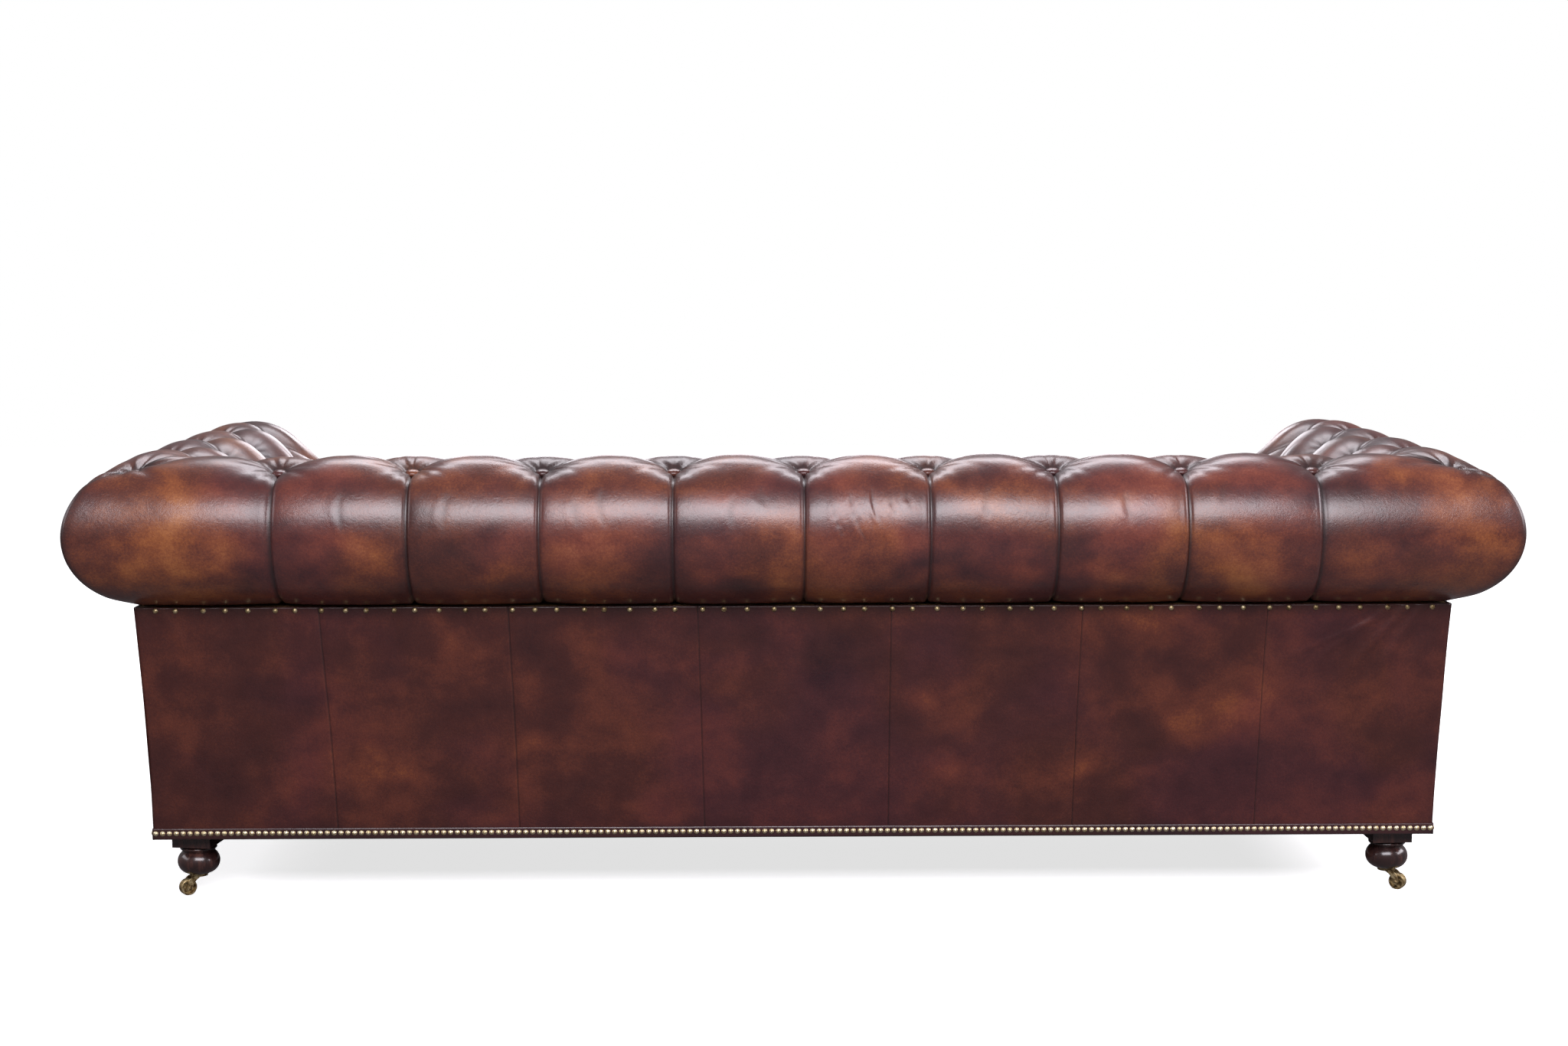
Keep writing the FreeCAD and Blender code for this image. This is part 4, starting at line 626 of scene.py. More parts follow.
CORNER_LENGTH = 0.25
BACK_COLUMNS = np.arange(-5, 6)
straight_columns = stations((-4, 4), COLUMN_STEP, FINE_STEP)
turn_shares = np.linspace(0, 1, int(CORNER_LENGTH / ROW_STEP))[1:]
back_column = np.concatenate([-4 - turn_shares[::-1], straight_columns, 4 + turn_shares])
back_share = np.concatenate([turn_shares[::-1], 0 * straight_columns, turn_shares])
back_flat = np.interp(np.clip(back_column, -4, 4), BACK_COLUMNS, PLEAT_PLACES)
back_far = back_flat + np.sign(back_column) * back_share * CORNER_LENGTH


def back_surface(column, far, share, out, up):
    flat = np.interp(np.clip(column, -4, 4), BACK_COLUMNS, PLEAT_PLACES)
    return back_spot(flat, share, np.sign(column), out, up)


def place_on_back(column):
    """Distance along the back of a column of buttons; half columns lie between two pleats."""
    return float(np.interp(column, back_column, back_far))


button_rows = ((0, 0.0, TOP_DEPTH), (2, 0.0, BUTTON_DEPTH), (1, 0.5, BUTTON_DEPTH), (3, 0.5, BUTTON_DEPTH))
back_buttons = []
for row, offset, deep in button_rows:
    for column in np.arange(-4 + offset, 4.01):
        back_buttons.append((place_on_back(column), row_far(row), deep, column, 0.0, row))
for side in (-1, 1):
    back_buttons.append((place_on_back(side * 4.5), row_far(1), BUTTON_DEPTH, side * 4.5, 0.5, 1))
    back_buttons.append((place_on_back(side * 5), row_far(0), TOP_DEPTH, side * 5.0, 1.0, 0))

slack = []
for start_x, turn, length, down in (
    (-0.060, -0.028, 0.105, 0.014), (-0.088, -0.040, 0.125, 0.000), (-0.128, -0.016, 0.085, 0.002),
    (-0.158, -0.012, 0.060, 0.010), (-0.186, -0.010, 0.055, 0.002), (0.330, -0.008, 0.080, 0.010),
    (0.372, -0.004, 0.060, 0.030), (0.585, 0.010, 0.090, 0.012), (-0.330, 0.006, 0.070, 0.006),
    (-0.560, -0.010, 0.060, 0.020), (-0.735, 0.012, 0.050, 0.000), (0.770, -0.006, 0.080, 0.016),
    (0.105, 0.004, 0.065, 0.024), (0.060, -0.006, 0.045, 0.006),
):
    high = -0.070 - down
    sharp = -0.2 < start_x < 0
    slack.append(((start_x, high), (start_x + turn, high - length), 0.0016 if sharp else 0.0006,
                  0.0022 if sharp else 0.0060))
back_cover = cover(
    "back_rolled_cover", back_column, back_far, back_share, back_surface,
    [button[:3] + (1.0 + 0.7 * button[4] * (button[5] == 0),) for button in back_buttons],
    BACK_PITCH, 1.0, folds=slack,
)
fit(back_cover, roll_leather, "brown_leather", "back_cover")

arm_columns = stations((1, 4), COLUMN_STEP, FINE_STEP)
arm_column = np.concatenate([1 - turn_shares[::-1], arm_columns])
arm_share = np.concatenate([turn_shares[::-1], 0 * arm_columns])
arm_far = np.interp(np.clip(arm_column, 1, 4), range(5), ARM_PLEATS) - arm_share * CORNER_LENGTH
arm_buttons = []
for row, offset, deep in button_rows:
    for column in np.arange(1 + offset, 3.01):
        far = float(np.interp(column, arm_column, arm_far))
        arm_buttons.append((far, row_far(row), deep, column, 0.0, row))
arm_buttons.append((float(np.interp(0.5, arm_column, arm_far)), row_far(1), BUTTON_DEPTH, 0.5, 0.5, 1))
arm_mitre_button = (float(np.interp(0.0, arm_column, arm_far)), row_far(0), TOP_DEPTH, 1.7)


def arm_surface(side):
    def surface(column, far, share, out, up):
        along = np.interp(np.clip(column, 1, 4), range(5), ARM_PLEATS)
        return arm_spot(along, share, side, out, up)
    return surface


for side_name, side in (("left", 1), ("right", -1)):
    arm_cover = cover(
        side_name + "_rolled_arm", arm_column, arm_far, arm_share, arm_surface(side),
        [button[:3] + (1.0,) for button in arm_buttons] + [arm_mitre_button], ARM_PITCH,
        2.0 + side, flat_end=ARM_END,
    )
    fit(arm_cover, roll_leather, "brown_leather", side_name + "_arm_cover")


# Buttons: small leather-covered domes on waxed twine, pulled into the tufting with hide gathered
# over their rims.
# A button's outline is a row of (radius, height) pairs, from the twine's foot over the rim to the crown.
BUTTON_OUTLINE = (
    (0.0015, -0.0075), (0.0090, -0.0040), (0.0118, -0.0015), (0.0123, 0.0008), (0.0116, 0.0026),
    (0.0096, 0.0042), (0.0066, 0.0053), (0.0032, 0.0059), (0.0008, 0.0060),
)
BUTTON_SIDES = 28


def ring_faces(rings, around, start=0):
    """Faces of a closed form made of equal rings of points, its two ends included."""
    faces = []
    for ring in range(rings - 1):
        low, high = start + ring * around, start + (ring + 1) * around
        for step in range(around):
            after = (step + 1) % around
            faces.append([low + step, low + after, high + after, high + step])
    faces.append([start + step for step in reversed(range(around))])
    faces.append([start + (rings - 1) * around + step for step in range(around)])
    return faces


def button_set(name, spots):
    points, faces = [], []
    for number, (place, normal) in enumerate(spots):
        turn = Vector((0, 0, 1)).rotation_difference(Vector(normal)).to_matrix()
        spin = Matrix.Rotation(number * 1.3, 3, "Z")
        start = len(points)
        for radius, height in BUTTON_OUTLINE:
            for step in range(BUTTON_SIDES):
                angle = 2 * math.pi * step / BUTTON_SIDES
                tuck = 1 + 0.035 * math.cos(9 * angle + number) * min(1.0, radius / 0.01)
                point = Vector((radius * tuck * math.cos(angle), radius * tuck * math.sin(angle), height))
                points.append(tuple(Vector(place) + turn @ (spin @ point)))
        faces += ring_faces(len(BUTTON_OUTLINE), BUTTON_SIDES, start)
    return new_piece(name, points, faces)


def button_spots(buttons, surface, side_way):
    """Where each button sits: on the floor of its pit, square to the cover's line."""
    spots = []
    for far, far_v, deep, column, share, row in buttons:
        line, inward = along_path(np.array([float(row)]))
        out, up = line[0] + inward[0] * (deep - 0.001)
        place = surface(np.array(column), np.array(far), np.array(share), np.array(out), np.array(up))
        spots.append((tuple(place), side_way(-inward[0][0], -inward[0][1], share, column)))
    return spots


def back_way(out, up, share, column):
    if share == 1.0:
        return (math.copysign(out, column) * 0.707, out * 0.707, up)
    return (0, out, up)


fit(button_set("back_button_set", button_spots(back_buttons, back_surface, back_way)),
    button_leather, "brown_leather", "back_buttons")
for side_name, side in (("left", 1), ("right", -1)):
    spots = button_spots(arm_buttons, arm_surface(side),
                         lambda out, up, share, column, s=side: (s * out, 0, up))
    fit(button_set(side_name + "_button_set", spots), button_leather, "brown_leather",
        side_name + "_arm_buttons")


# Outside covers: hide over board from under the roll to the base. The back one is sewn from seven
# panels whose plain seams lean a little, and it is pulled in at the nails; the arms' are one panel.
PANEL_TOP, PANEL_FOOT, BASE = 0.527, 0.1334, 0.1114
PANEL_MIDDLE = (PANEL_TOP + PANEL_FOOT) / 2
PANEL_OUT = ((PANEL_TOP, 0.034), (PANEL_MIDDLE, 0.0235), (PANEL_FOOT, 0.017), (BASE, 0.016))
PANEL_NECK = 0.440
ARM_FRONT = -0.4715
ROLL_NAIL_PITCH = 0.041
SEAMS_TOP = (-0.819, -0.498, -0.166, 0.169, 0.496, 0.822)
SEAMS_FOOT = (-0.818, -0.492, -0.165, 0.161, 0.489, 0.810)


def panel_out(up):
    """The panel's lean: a slow curve down to the foot and then nearly upright."""
    (top, out_top), (middle, out_middle), (foot, out_foot), (base, out_base) = PANEL_OUT
    curve = (out_top * (up - middle) * (up - foot) / ((top - middle) * (top - foot))
             + out_middle * (up - top) * (up - foot) / ((middle - top) * (middle - foot))
             + out_foot * (up - top) * (up - middle) / ((foot - top) * (foot - middle)))
    low = out_base + (up - base) * (out_foot - out_base) / (foot - base)
    return np.where(up > foot, curve, low)


def grid_lines(values):
    return np.unique(np.round(values, 6))


panel_up = grid_lines(np.concatenate([
    np.linspace(PANEL_TOP, PANEL_NECK, 26), np.linspace(PANEL_NECK, PANEL_FOOT, 42),
    np.linspace(PANEL_FOOT, BASE, 6)]))
panel_up = panel_up[::-1]


def even_places(low, high, wanted):
    """Places a whole number of equal steps apart, half a step in from each end."""
    count = max(1, int(round((high - low) / wanted)))
    step = (high - low) / count
    return [low + step * (index + 0.5) for index in range(count)]


def roll_nail_places(low, high, phase=0.0):
    """The nails under the roll, set by eye, so that they wander a little."""
    even = even_places(low, high, ROLL_NAIL_PITCH)
    return [place + 0.004 * math.sin(2.4 * index + phase) for index, place in enumerate(even)]


back_reach = ARM_LINE + 0.034 - ROLL_NAIL_PITCH / 3
back_nail_places = roll_nail_places(-back_reach, back_reach)


def pulled_at_nails(far, up, places):
    """Shallow dents and short drag folds below each nail at the panel's top edge."""
    dent = np.zeros(np.broadcast(far, up).shape)
    for number, place in enumerate(places):
        lean = 0.12 * math.sin(number * 2.1)
        below = PANEL_TOP - 0.006 - up
        across = far - place - lean * below
        long = 0.030 + 0.018 * (0.5 + 0.5 * math.sin(number * 1.3))
        dent += 0.0012 * np.exp(-(across / 0.0065) ** 2) * np.exp(-np.abs(below) / long)
    return dent


def outside_piece(name, far, spot, places, seams, seed, extra=None):
    """A cover of one or more panels, dented by its nails and drawn in at its seams."""
    far_grid, up_grid = np.meshgrid(far, panel_up, indexing="ij")
    out = panel_out(up_grid) + 0.0007 * waves(far_grid, up_grid, seed, 0.12)
    crest = np.clip(0.5 + 0.22 * waves(far_grid, up_grid * 1.4, seed, 0.22), 0, 1)
    fold = np.zeros(far_grid.shape)
    share = (PANEL_TOP - up_grid) / (PANEL_TOP - BASE)
    for top, foot in seams:
        off = far_grid - (top + (foot - top) * share)
        sewn = np.exp(-(off / 0.0011) ** 2)
        rolled = np.exp(-(off / 0.0075) ** 2)
        overlap = 0.0003 * (1 + np.tanh(off / 0.0012)) * np.exp(-(off / 0.01) ** 2)
        out = out - 0.0014 * sewn - 0.0007 * rolled + overlap
        fold = fold + 0.8 * sewn
        # A thin lighter lip beside each seam line: painted highlight.
        crest = crest + 0.3 * np.exp(-((off - 0.0018) / 0.0012) ** 2)
    # Darker under the roll, a painted shadow, and darker towards the foot.
    under_roll = np.clip((up_grid - 0.505) / 0.02, 0, 1)
    at_foot = np.clip((0.150 - up_grid) / 0.02, 0, 1)
    fold = fold + 0.45 * under_roll + 0.20 * at_foot
    out = out - pulled_at_nails(far_grid, up_grid, places)
    if extra is not None:
        out = out + extra(far_grid, up_grid)
    outer = spot(far_grid, out, up_grid)
    inner_up = np.array([PANEL_TOP, (PANEL_TOP + BASE) / 2, BASE])
    inner_out = np.array([0.028, 0.019, 0.010])
    far_inner, up_inner = np.meshgrid(far, inner_up, indexing="ij")
    inner = spot(far_inner, np.broadcast_to(inner_out, far_inner.shape), up_inner)
    return layered(name, outer, inner, {"crest": np.clip(crest, 0, 1), "fold": np.clip(fold, 0, 1)})


def back_panel_spot(far, out, up):
    """Across the back, spread so that both ends lie in the mitres."""
    return np.stack([far * (ARM_LINE + out) / (ARM_LINE + 0.024), BACK_LINE + out, up], -1)


def corner_drag(far, up):
    """Loose diagonal folds at the upper corner on the sofa's right, and fainter ones on its left."""
    total = np.zeros(far.shape)
    for x, z, lean, long, high in (
        (-1.070, 0.500, 0.55, 0.075, 0.0032), (-1.045, 0.505, 0.85, 0.095, 0.0026),
        (-1.100, 0.485, 0.30, 0.060, 0.0026), (-1.010, 0.508, 1.25, 0.085, 0.0018),
        (-0.985, 0.490, 2.2, 0.060, 0.0014), (1.075, 0.495, -0.5, 0.055, 0.0014),
        (-0.420, 0.300, 3.0, 0.060, 0.0007), (0.550, 0.260, 0.2, 0.080, 0.0007),
    ):
        down = z - up
        across = far - x - lean * down
        total += high * np.exp(-(across / 0.009) ** 2) * np.exp(-((down - 0.3 * long) / long) ** 2)
    return total


SEAMS = list(zip(SEAMS_TOP, SEAMS_FOOT))
back_far_lines = grid_lines(np.linspace(-1.136, 1.136, 380))
for top, foot in SEAMS:
    beside_seam = (top + foot) / 2 + np.arange(-0.013, 0.0131, 0.0011)
    back_far_lines = grid_lines(np.concatenate([back_far_lines, beside_seam]))
outside_back = outside_piece(
    "outside_back_panels", back_far_lines, back_panel_spot, back_nail_places, SEAMS, 5.0, corner_drag)
fit(outside_back, shaded_panel_leather, "brown_leather", "outside_back_cover")

ARM_PANEL_LENGTH = 0.858
for side_name, side in (("left", 1), ("right", -1)):
    arm_nails = roll_nail_places(
        ARM_FRONT + ROLL_NAIL_PITCH / 3, BACK_LINE + 0.034 - ROLL_NAIL_PITCH / 3, side)

    def arm_panel_spot(far, out, up, side=side):
        """Along the arm: far runs from 0 at the facing to 1 in the mitre."""
        along = ARM_FRONT + far * (BACK_LINE + out - ARM_FRONT)
        return np.stack([side * (ARM_LINE + out), along, up], -1)

    outside_arm = outside_piece(
        "outside_%s_arm_panel" % side_name, np.linspace(0, 1, 170), arm_panel_spot,
        [(place - ARM_FRONT) / ARM_PANEL_LENGTH for place in arm_nails], [], 7.0 + side)
    fit(outside_arm, shaded_panel_leather, "brown_leather", "outside_%s_arm_cover" % side_name)


# Base band: a strip of the darkest hide, folded over and nailed close round the foot of the covers.
band_leather = leather("band_leather", 0.22, 0.35, crest=0.35)
BAND, BAND_HEIGHT = 0.002, 0.020
BAND_NAIL_UP, BAND_NAIL_PITCH = 0.0111, 0.012
BAND_OUT, BAND_LEAN = 0.016, 0.001 / 0.022
BORDER_REACH = 0.9617


def band_strip(name, start, end, way_out, low_out, slope, seed):
    """A strip between two places; the hide bulges between the nails and its edge wanders."""
    length = (Vector(end) - Vector(start)).length
    far = np.linspace(0, length, int(length / 0.003))
    far_grid, share = np.meshgrid(far, np.linspace(0, 1, 9), indexing="ij")
    near = np.full(far_grid.shape, 1.0)
    for place in even_places(0, length, BAND_NAIL_PITCH):
        near = np.minimum(near, np.hypot(far_grid - place, share * BAND_HEIGHT - BAND_NAIL_UP) / 0.006)
    edge = 1 - np.clip(np.abs(share - 0.5) * 2, 0, 1) ** 6
    bulge = BAND * (0.62 + 0.38 * edge) + 0.0003 * np.clip(near, 0, 1) - 0.0003
    bulge = bulge + 0.00025 * waves(far_grid, share * BAND_HEIGHT, seed, 0.02)
    wander = 0.0005 * waves(far_grid, share * 0, seed, 0.05) * (share > 0.5)
    along = np.array((Vector(end) - Vector(start)).normalized())

    def placed(far_grid, up, bulge):
        spots = np.array(start) + far_grid[..., None] * along
        spots = spots + (low_out + slope * (up - BASE) + bulge)[..., None] * np.array(way_out)
        spots[..., 2] = up
        return spots

    far_inner, share_inner = np.meshgrid(far, np.array([0.0, 1.0]), indexing="ij")
    outer = placed(far_grid, BASE + share * BAND_HEIGHT + wander, bulge)
    inner = placed(far_inner, BASE + share_inner * BAND_HEIGHT, 0 * share_inner)
    return layered(name, outer, inner, {})


band_reach = ARM_LINE + 0.0187
strips = [
    band_strip("band_back", (-band_reach, BACK_LINE, 0), (band_reach, BACK_LINE, 0), (0, 1, 0),
               BAND_OUT, BAND_LEAN, 1.0),
    band_strip("band_front", (-BORDER_REACH, -0.475, 0), (BORDER_REACH, -0.475, 0), (0, -1, 0),
               0.0, 0.0, 2.0),
]
for side in (1, -1):
    strips.append(band_strip(
        "band_side", (side * ARM_LINE, ARM_FRONT, 0), (side * ARM_LINE, BACK_LINE + 0.0187, 0),
        (side, 0, 0), BAND_OUT, BAND_LEAN, 3.0 + side))


def joined(name, pieces):
    """Several meshes as one piece, for parts that are fixed alike."""
    for piece in bpy.context.selected_objects:
        piece.select_set(False)
    for piece in pieces:
        piece.select_set(True)
    bpy.context.view_layer.objects.active = pieces[0]
    bpy.ops.object.join()
    pieces[0].name = name
    pieces[0].data.name = name
    return pieces[0]


fit(joined("folded_base_band", strips), band_leather, "band_leather", "base_band")


# Nails: stamped brass heads, antiqued with patches of brown wax and tarnish, so that the domes shine.
def worn_brass():
    """Patches of brown wax and tarnish over bright metal."""
    group, taken, given = new_group("worn_brass", {"Wax": 0.5}, ("Color", "Roughness", "Height"))
    place = add(group, "TexCoord").outputs["Object"]
    patches = add(group, "TexNoise", {"Vector": place, "Scale": 130.0, "Detail": 5.0, "Roughness": 0.65})
    pits = add(group, "TexNoise", {"Vector": place, "Scale": 900.0, "Detail": 3.0})
    tarnish = maths(group, "ADD", patches.outputs["Fac"], maths(group, "SUBTRACT", taken["Wax"], 0.5))
    colour = shades(group, tarnish, (0.34, paint(232, 220, 188)), (0.52, paint(200, 180, 136)),
                    (0.66, paint(120, 98, 66)), (0.82, paint(52, 44, 36)))
    group.links.new(colour, given["Color"])
    group.links.new(shades_value(group, tarnish, -0.35, 1.35), given["Roughness"])
    group.links.new(pits.outputs["Fac"], given["Height"])
    return group


WORN_BRASS = worn_brass()


def brass(name, wax):
    made, tree, surface = new_material(name, Metallic=1.0)
    metal = use_group(tree, WORN_BRASS, Wax=wax)
    tree.links.new(metal["Color"], surface.inputs["Base Color"])
    tree.links.new(metal["Roughness"], surface.inputs["Roughness"])
    raised(tree, surface, metal["Height"], 0.00012)
    return made


# One brass in two copies: less wax for the base and facing nails, and more wax for the nails under the roll,
# painted shade from the roll above them.
dress(brass("bright_nails", 0.40), "base_nails", "facing_nails")
dress(brass("shaded_roll_nails", 0.54), "roll_nails")


# Facings and front border: boards padded thinly and covered with hide. Each facing has the shape of
# the arm's section and closes its front; the border closes the seat under the cushions.
FACING_FRONT = -0.4915
FACING_INSET = 0.006
BORDER_TOP, BORDER_EDGE = 0.3297, 0.012


def facing_outline():
    """The facing's edge as (out, up) points: up the outer side, round the roll, down the inner one."""
    top_out, radius = 0.034 - FACING_INSET, ROLL - FACING_INSET
    join_up = ROLL_UP - math.sqrt(radius ** 2 - top_out ** 2)
    start = -math.degrees(math.acos(top_out / radius))
    points = [(0.016 - FACING_INSET, BASE), (top_out, join_up)]
    points += [on_roll(start + (150 - start) * step / 40, radius) for step in range(1, 41)]
    for to, bow in (((-0.134, 0.646), 0.006), ((-0.144, 0.525), 0.002)):
        end = points[-1]
        for step in range(1, 9):
            share = step / 8
            bowed = bow * math.sin(math.pi * share)
            points.append((end[0] + (to[0] - end[0]) * share - bowed, end[1] + (to[1] - end[1]) * share))
    points += [(-0.144, 0.330), (-0.144, BASE)]
    return points


def spaced(points, step):
    """A closed outline's points again, at an even step along it."""
    ring = np.array(points + points[:1])
    far = np.concatenate([[0], np.cumsum(np.linalg.norm(np.diff(ring, axis=0), axis=1))])
    even = np.linspace(0, far[-1], int(far[-1] / step), endpoint=False)
    return np.stack([np.interp(even, far, ring[:, 0]), np.interp(even, far, ring[:, 1])], axis=1)


def shrunk(ring, amount):
    """The outline moved inwards square to itself."""
    ahead, behind = np.roll(ring, -1, axis=0), np.roll(ring, 1, axis=0)
    along = ahead - behind
    along /= np.linalg.norm(along, axis=1)[:, None]
    return ring + np.stack([-along[:, 1], along[:, 0]], axis=1) * amount


FACING_EDGE = (
    (0.004, ARM_FRONT), (0.0, ARM_FRONT - 0.002), (0.0, FACING_FRONT + 0.005),
    (0.0012, FACING_FRONT + 0.0022), (0.0035, FACING_FRONT + 0.0007), (0.007, FACING_FRONT),
    (0.013, FACING_FRONT), (0.020, FACING_FRONT - 0.0006),
)
facing_ring = spaced(facing_outline(), 0.006)
for side_name, side in (("left", 1), ("right", -1)):
    points = []
    for inward, deep in FACING_EDGE:
        points += [(side * (ARM_LINE + out), deep, up) for out, up in shrunk(facing_ring, inward)]
    facing = new_piece(
        side_name + "_scroll_facing", points, ring_faces(len(FACING_EDGE), len(facing_ring)))
    fit(facing, leather(side_name + "_facing_leather", 0.50, 0.8, crest=0.6), "brown_leather",
        side_name + "_arm_facing")

border_x = np.linspace(-BORDER_REACH, BORDER_REACH, 260)
x_grid, up_grid = np.meshgrid(border_x, np.linspace(BORDER_TOP, BASE, 34), indexing="ij")
edge_up = np.clip(np.minimum(up_grid - BASE, BORDER_TOP - up_grid) / BORDER_EDGE, 0, 1)
edge_x = np.clip((BORDER_REACH - np.abs(x_grid)) / BORDER_EDGE, 0, 1)
rounded = 1 - (1 - np.minimum(edge_up, edge_x)) ** 2
border_out = -0.4715 - 0.0035 * rounded - 0.0008 * waves(x_grid, up_grid, 9.0, 0.15)
outer = np.stack([x_grid, border_out, up_grid], -1)
x_inner, up_inner = np.meshgrid(border_x, np.array([BORDER_TOP, BASE]), indexing="ij")
inner = np.stack([x_inner, np.full(x_inner.shape, -0.4690), up_inner], -1)
# Darker along the border's rounded top and bottom edges: painted shade.
border = layered("front_border", outer, inner, {
    "crest": 0.5 + 0.2 * waves(x_grid, up_grid, 9.0, 0.2), "fold": 0.3 * (1 - edge_up)})
fit(border, shaded_panel_leather, "brown_leather", "front_border_cover")


# Seat deck: a firm pad over the springs, covered with hide like the border. The cushions hide it.
DECK_STEP, DECK_EDGE, DECK_CROWN = 0.012, 0.010, 0.002


def deck_line(low, high):
    """Even places from one edge of the deck to the other."""
    step = (high - low) / round((high - low) / DECK_STEP)
    return np.arange(low, high + DECK_STEP / 2, step)


deck_low, deck_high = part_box("seat_deck_pad")
x_grid, y_grid = np.meshgrid(
    deck_line(deck_low[0], deck_high[0]), deck_line(deck_low[1], deck_high[1]), indexing="ij")
inward = np.minimum(np.minimum(x_grid - deck_low[0], deck_high[0] - x_grid),
                    np.minimum(y_grid - deck_low[1], deck_high[1] - y_grid))
rounding = np.clip(inward / DECK_EDGE, 0, 1)
fall = DECK_EDGE * (1 - np.sqrt(1 - (1 - rounding) ** 2))
deck_up = deck_high[2] - DECK_CROWN - fall + DECK_CROWN * np.clip(inward / 0.15, 0, 1)
deck_up = deck_up - 0.0008 * (1 + waves(x_grid, y_grid, 11.0, 0.3)) * rounding
deck = layered(
    "seat_deck", np.stack([x_grid, y_grid, deck_up], -1),
    np.stack([x_grid, y_grid, np.full(x_grid.shape, deck_low[2])], -1),
    {"crest": 0.45 + 0 * deck_up, "fold": 0 * deck_up})
fit(deck, shaded_panel_leather, "brown_leather", "seat_deck_pad")


# Seat cushions: three loose box cushions, fibre round a foam core, in the same hide. Each has a
# piped seam round its top and its bottom, between which the faces swell, and each lifts off.
CUSHION_DRAW, CUSHION_CORNER, PIPING = 0.006, 0.022, 0.004
VOXEL = 0.007
SWELL_CAP, QUICK_SWELL = 0.024, 0.018
HIDE_SETTINGS = {
    "quality": 5, "mass": 0.6, "tension_stiffness": 22, "compression_stiffness": 8,
    "shear_stiffness": 6, "bending_stiffness": 1.2, "use_pressure": True,
    "uniform_pressure_force": 4.0, "vertex_group_mass": "held", "shrink_min": -0.035,
}
cushion_leather = leather("cushion_leather", 0.47, 0.8, crest=0.62, polish=0.22)


def cushion_ring(low, high, corner, step=0.006):
    """The seam's line round a cushion, with rounded corners and sides drawn in between them."""
    points = []
    middle = (Vector(low) + Vector(high)) / 2
    half_x, half_y = (high[0] - low[0]) / 2, (high[1] - low[1]) / 2
    for turn, (sign_x, sign_y) in enumerate(((1, 1), (-1, 1), (-1, -1), (1, -1))):
        for bit in range(9):
            angle = math.radians(90 * turn + 90 * bit / 8)
            points.append((sign_x * (half_x - corner) + corner * math.cos(angle),
                           sign_y * (half_y - corner) + corner * math.sin(angle)))
    ring = spaced(points, step)
    long_x = np.abs(ring[:, 0]) / half_x
    long_y = np.abs(ring[:, 1]) / half_y
    ring[:, 1] -= np.sign(ring[:, 1]) * CUSHION_DRAW * np.clip(1 - long_x ** 2, 0, 1) * (long_y > 0.9)
    return ring + np.array([middle.x, middle.y])


def tube_round(name, path, radius, sides=10):
    """A closed tube along a loop of points."""
    path = np.asarray(path)
    ahead = np.roll(path, -1, axis=0) - np.roll(path, 1, axis=0)
    ahead /= np.linalg.norm(ahead, axis=1)[:, None]
    up = np.array([0.0, 0.0, 1.0])
    out = np.cross(ahead, up)
    out /= np.linalg.norm(out, axis=1)[:, None]
    over = np.cross(out, ahead)
    turns = np.linspace(0, 2 * math.pi, sides, endpoint=False)
    points = (path[:, None] + radius * (np.cos(turns)[None, :, None] * out[:, None]
                                        + np.sin(turns)[None, :, None] * over[:, None])).reshape(-1, 3)
    count = len(path)
    faces = []
    for place in range(count):
        after = (place + 1) % count
        for side in range(sides):
            beside = (side + 1) % sides
            faces.append([place * sides + side, place * sides + beside,
                          after * sides + beside, after * sides + side])
    return new_piece(name, points, faces)


def cushion_start(name, ring, low_up, high_up):
    """The cushion before it swells: two flat faces and a strip between the seams."""
    levels = np.linspace(low_up, high_up, 12)
    points = [(x, y, level) for level in levels for x, y in ring]
    return new_piece(name, points, ring_faces(len(levels), len(ring)))


def apply_modifier(piece, label, kind, **settings):
    made = piece.modifiers.new(label, kind)
    for name, value in settings.items():
        setattr(made, name, value)
    bpy.ops.object.modifier_apply(modifier=made.name)


def filled(piece, held):
    """Where the hide goes as the cushion fills, held still at its seams and on the deck."""
    pins = piece.vertex_groups.new(name="held")
    pins.add(np.nonzero(held)[0].tolist(), 1.0, "REPLACE")
    hide = piece.modifiers.new("hide", "CLOTH")
    for name, value in HIDE_SETTINGS.items():
        setattr(hide.settings, name, value)
    hide.settings.effector_weights.gravity = 0
    hide.point_cache.frame_start = 1
    hide.point_cache.frame_end = 20
    for moment in range(1, 21):
        bpy.context.scene.frame_set(moment)
    shown = piece.evaluated_get(bpy.context.evaluated_depsgraph_get())
    done = places_of(shown.data)
    piece.modifiers.remove(hide)
    piece.vertex_groups.remove(pins)
    bpy.context.scene.frame_set(1)
    return done


def kept_within(place, low, high):
    """Ease the swelling off softly where it would pass the room that the cushion has."""
    for axis, soft in ((0, 0.0012), (1, 0.003), (2, 0.004)):
        over = place[:, axis] - (high[axis] - soft)
        softened = high[axis] - soft + soft * np.tanh(over / soft)
        place[:, axis] = np.where(over > 0, softened, place[:, axis])
        under = (low[axis] + soft) - place[:, axis]
        softened = low[axis] + soft - soft * np.tanh(under / soft)
        if axis == 2:
            place[:, axis] = np.maximum(place[:, axis], low[axis])
        else:
            place[:, axis] = np.where(under > 0, softened, place[:, axis])
    return place


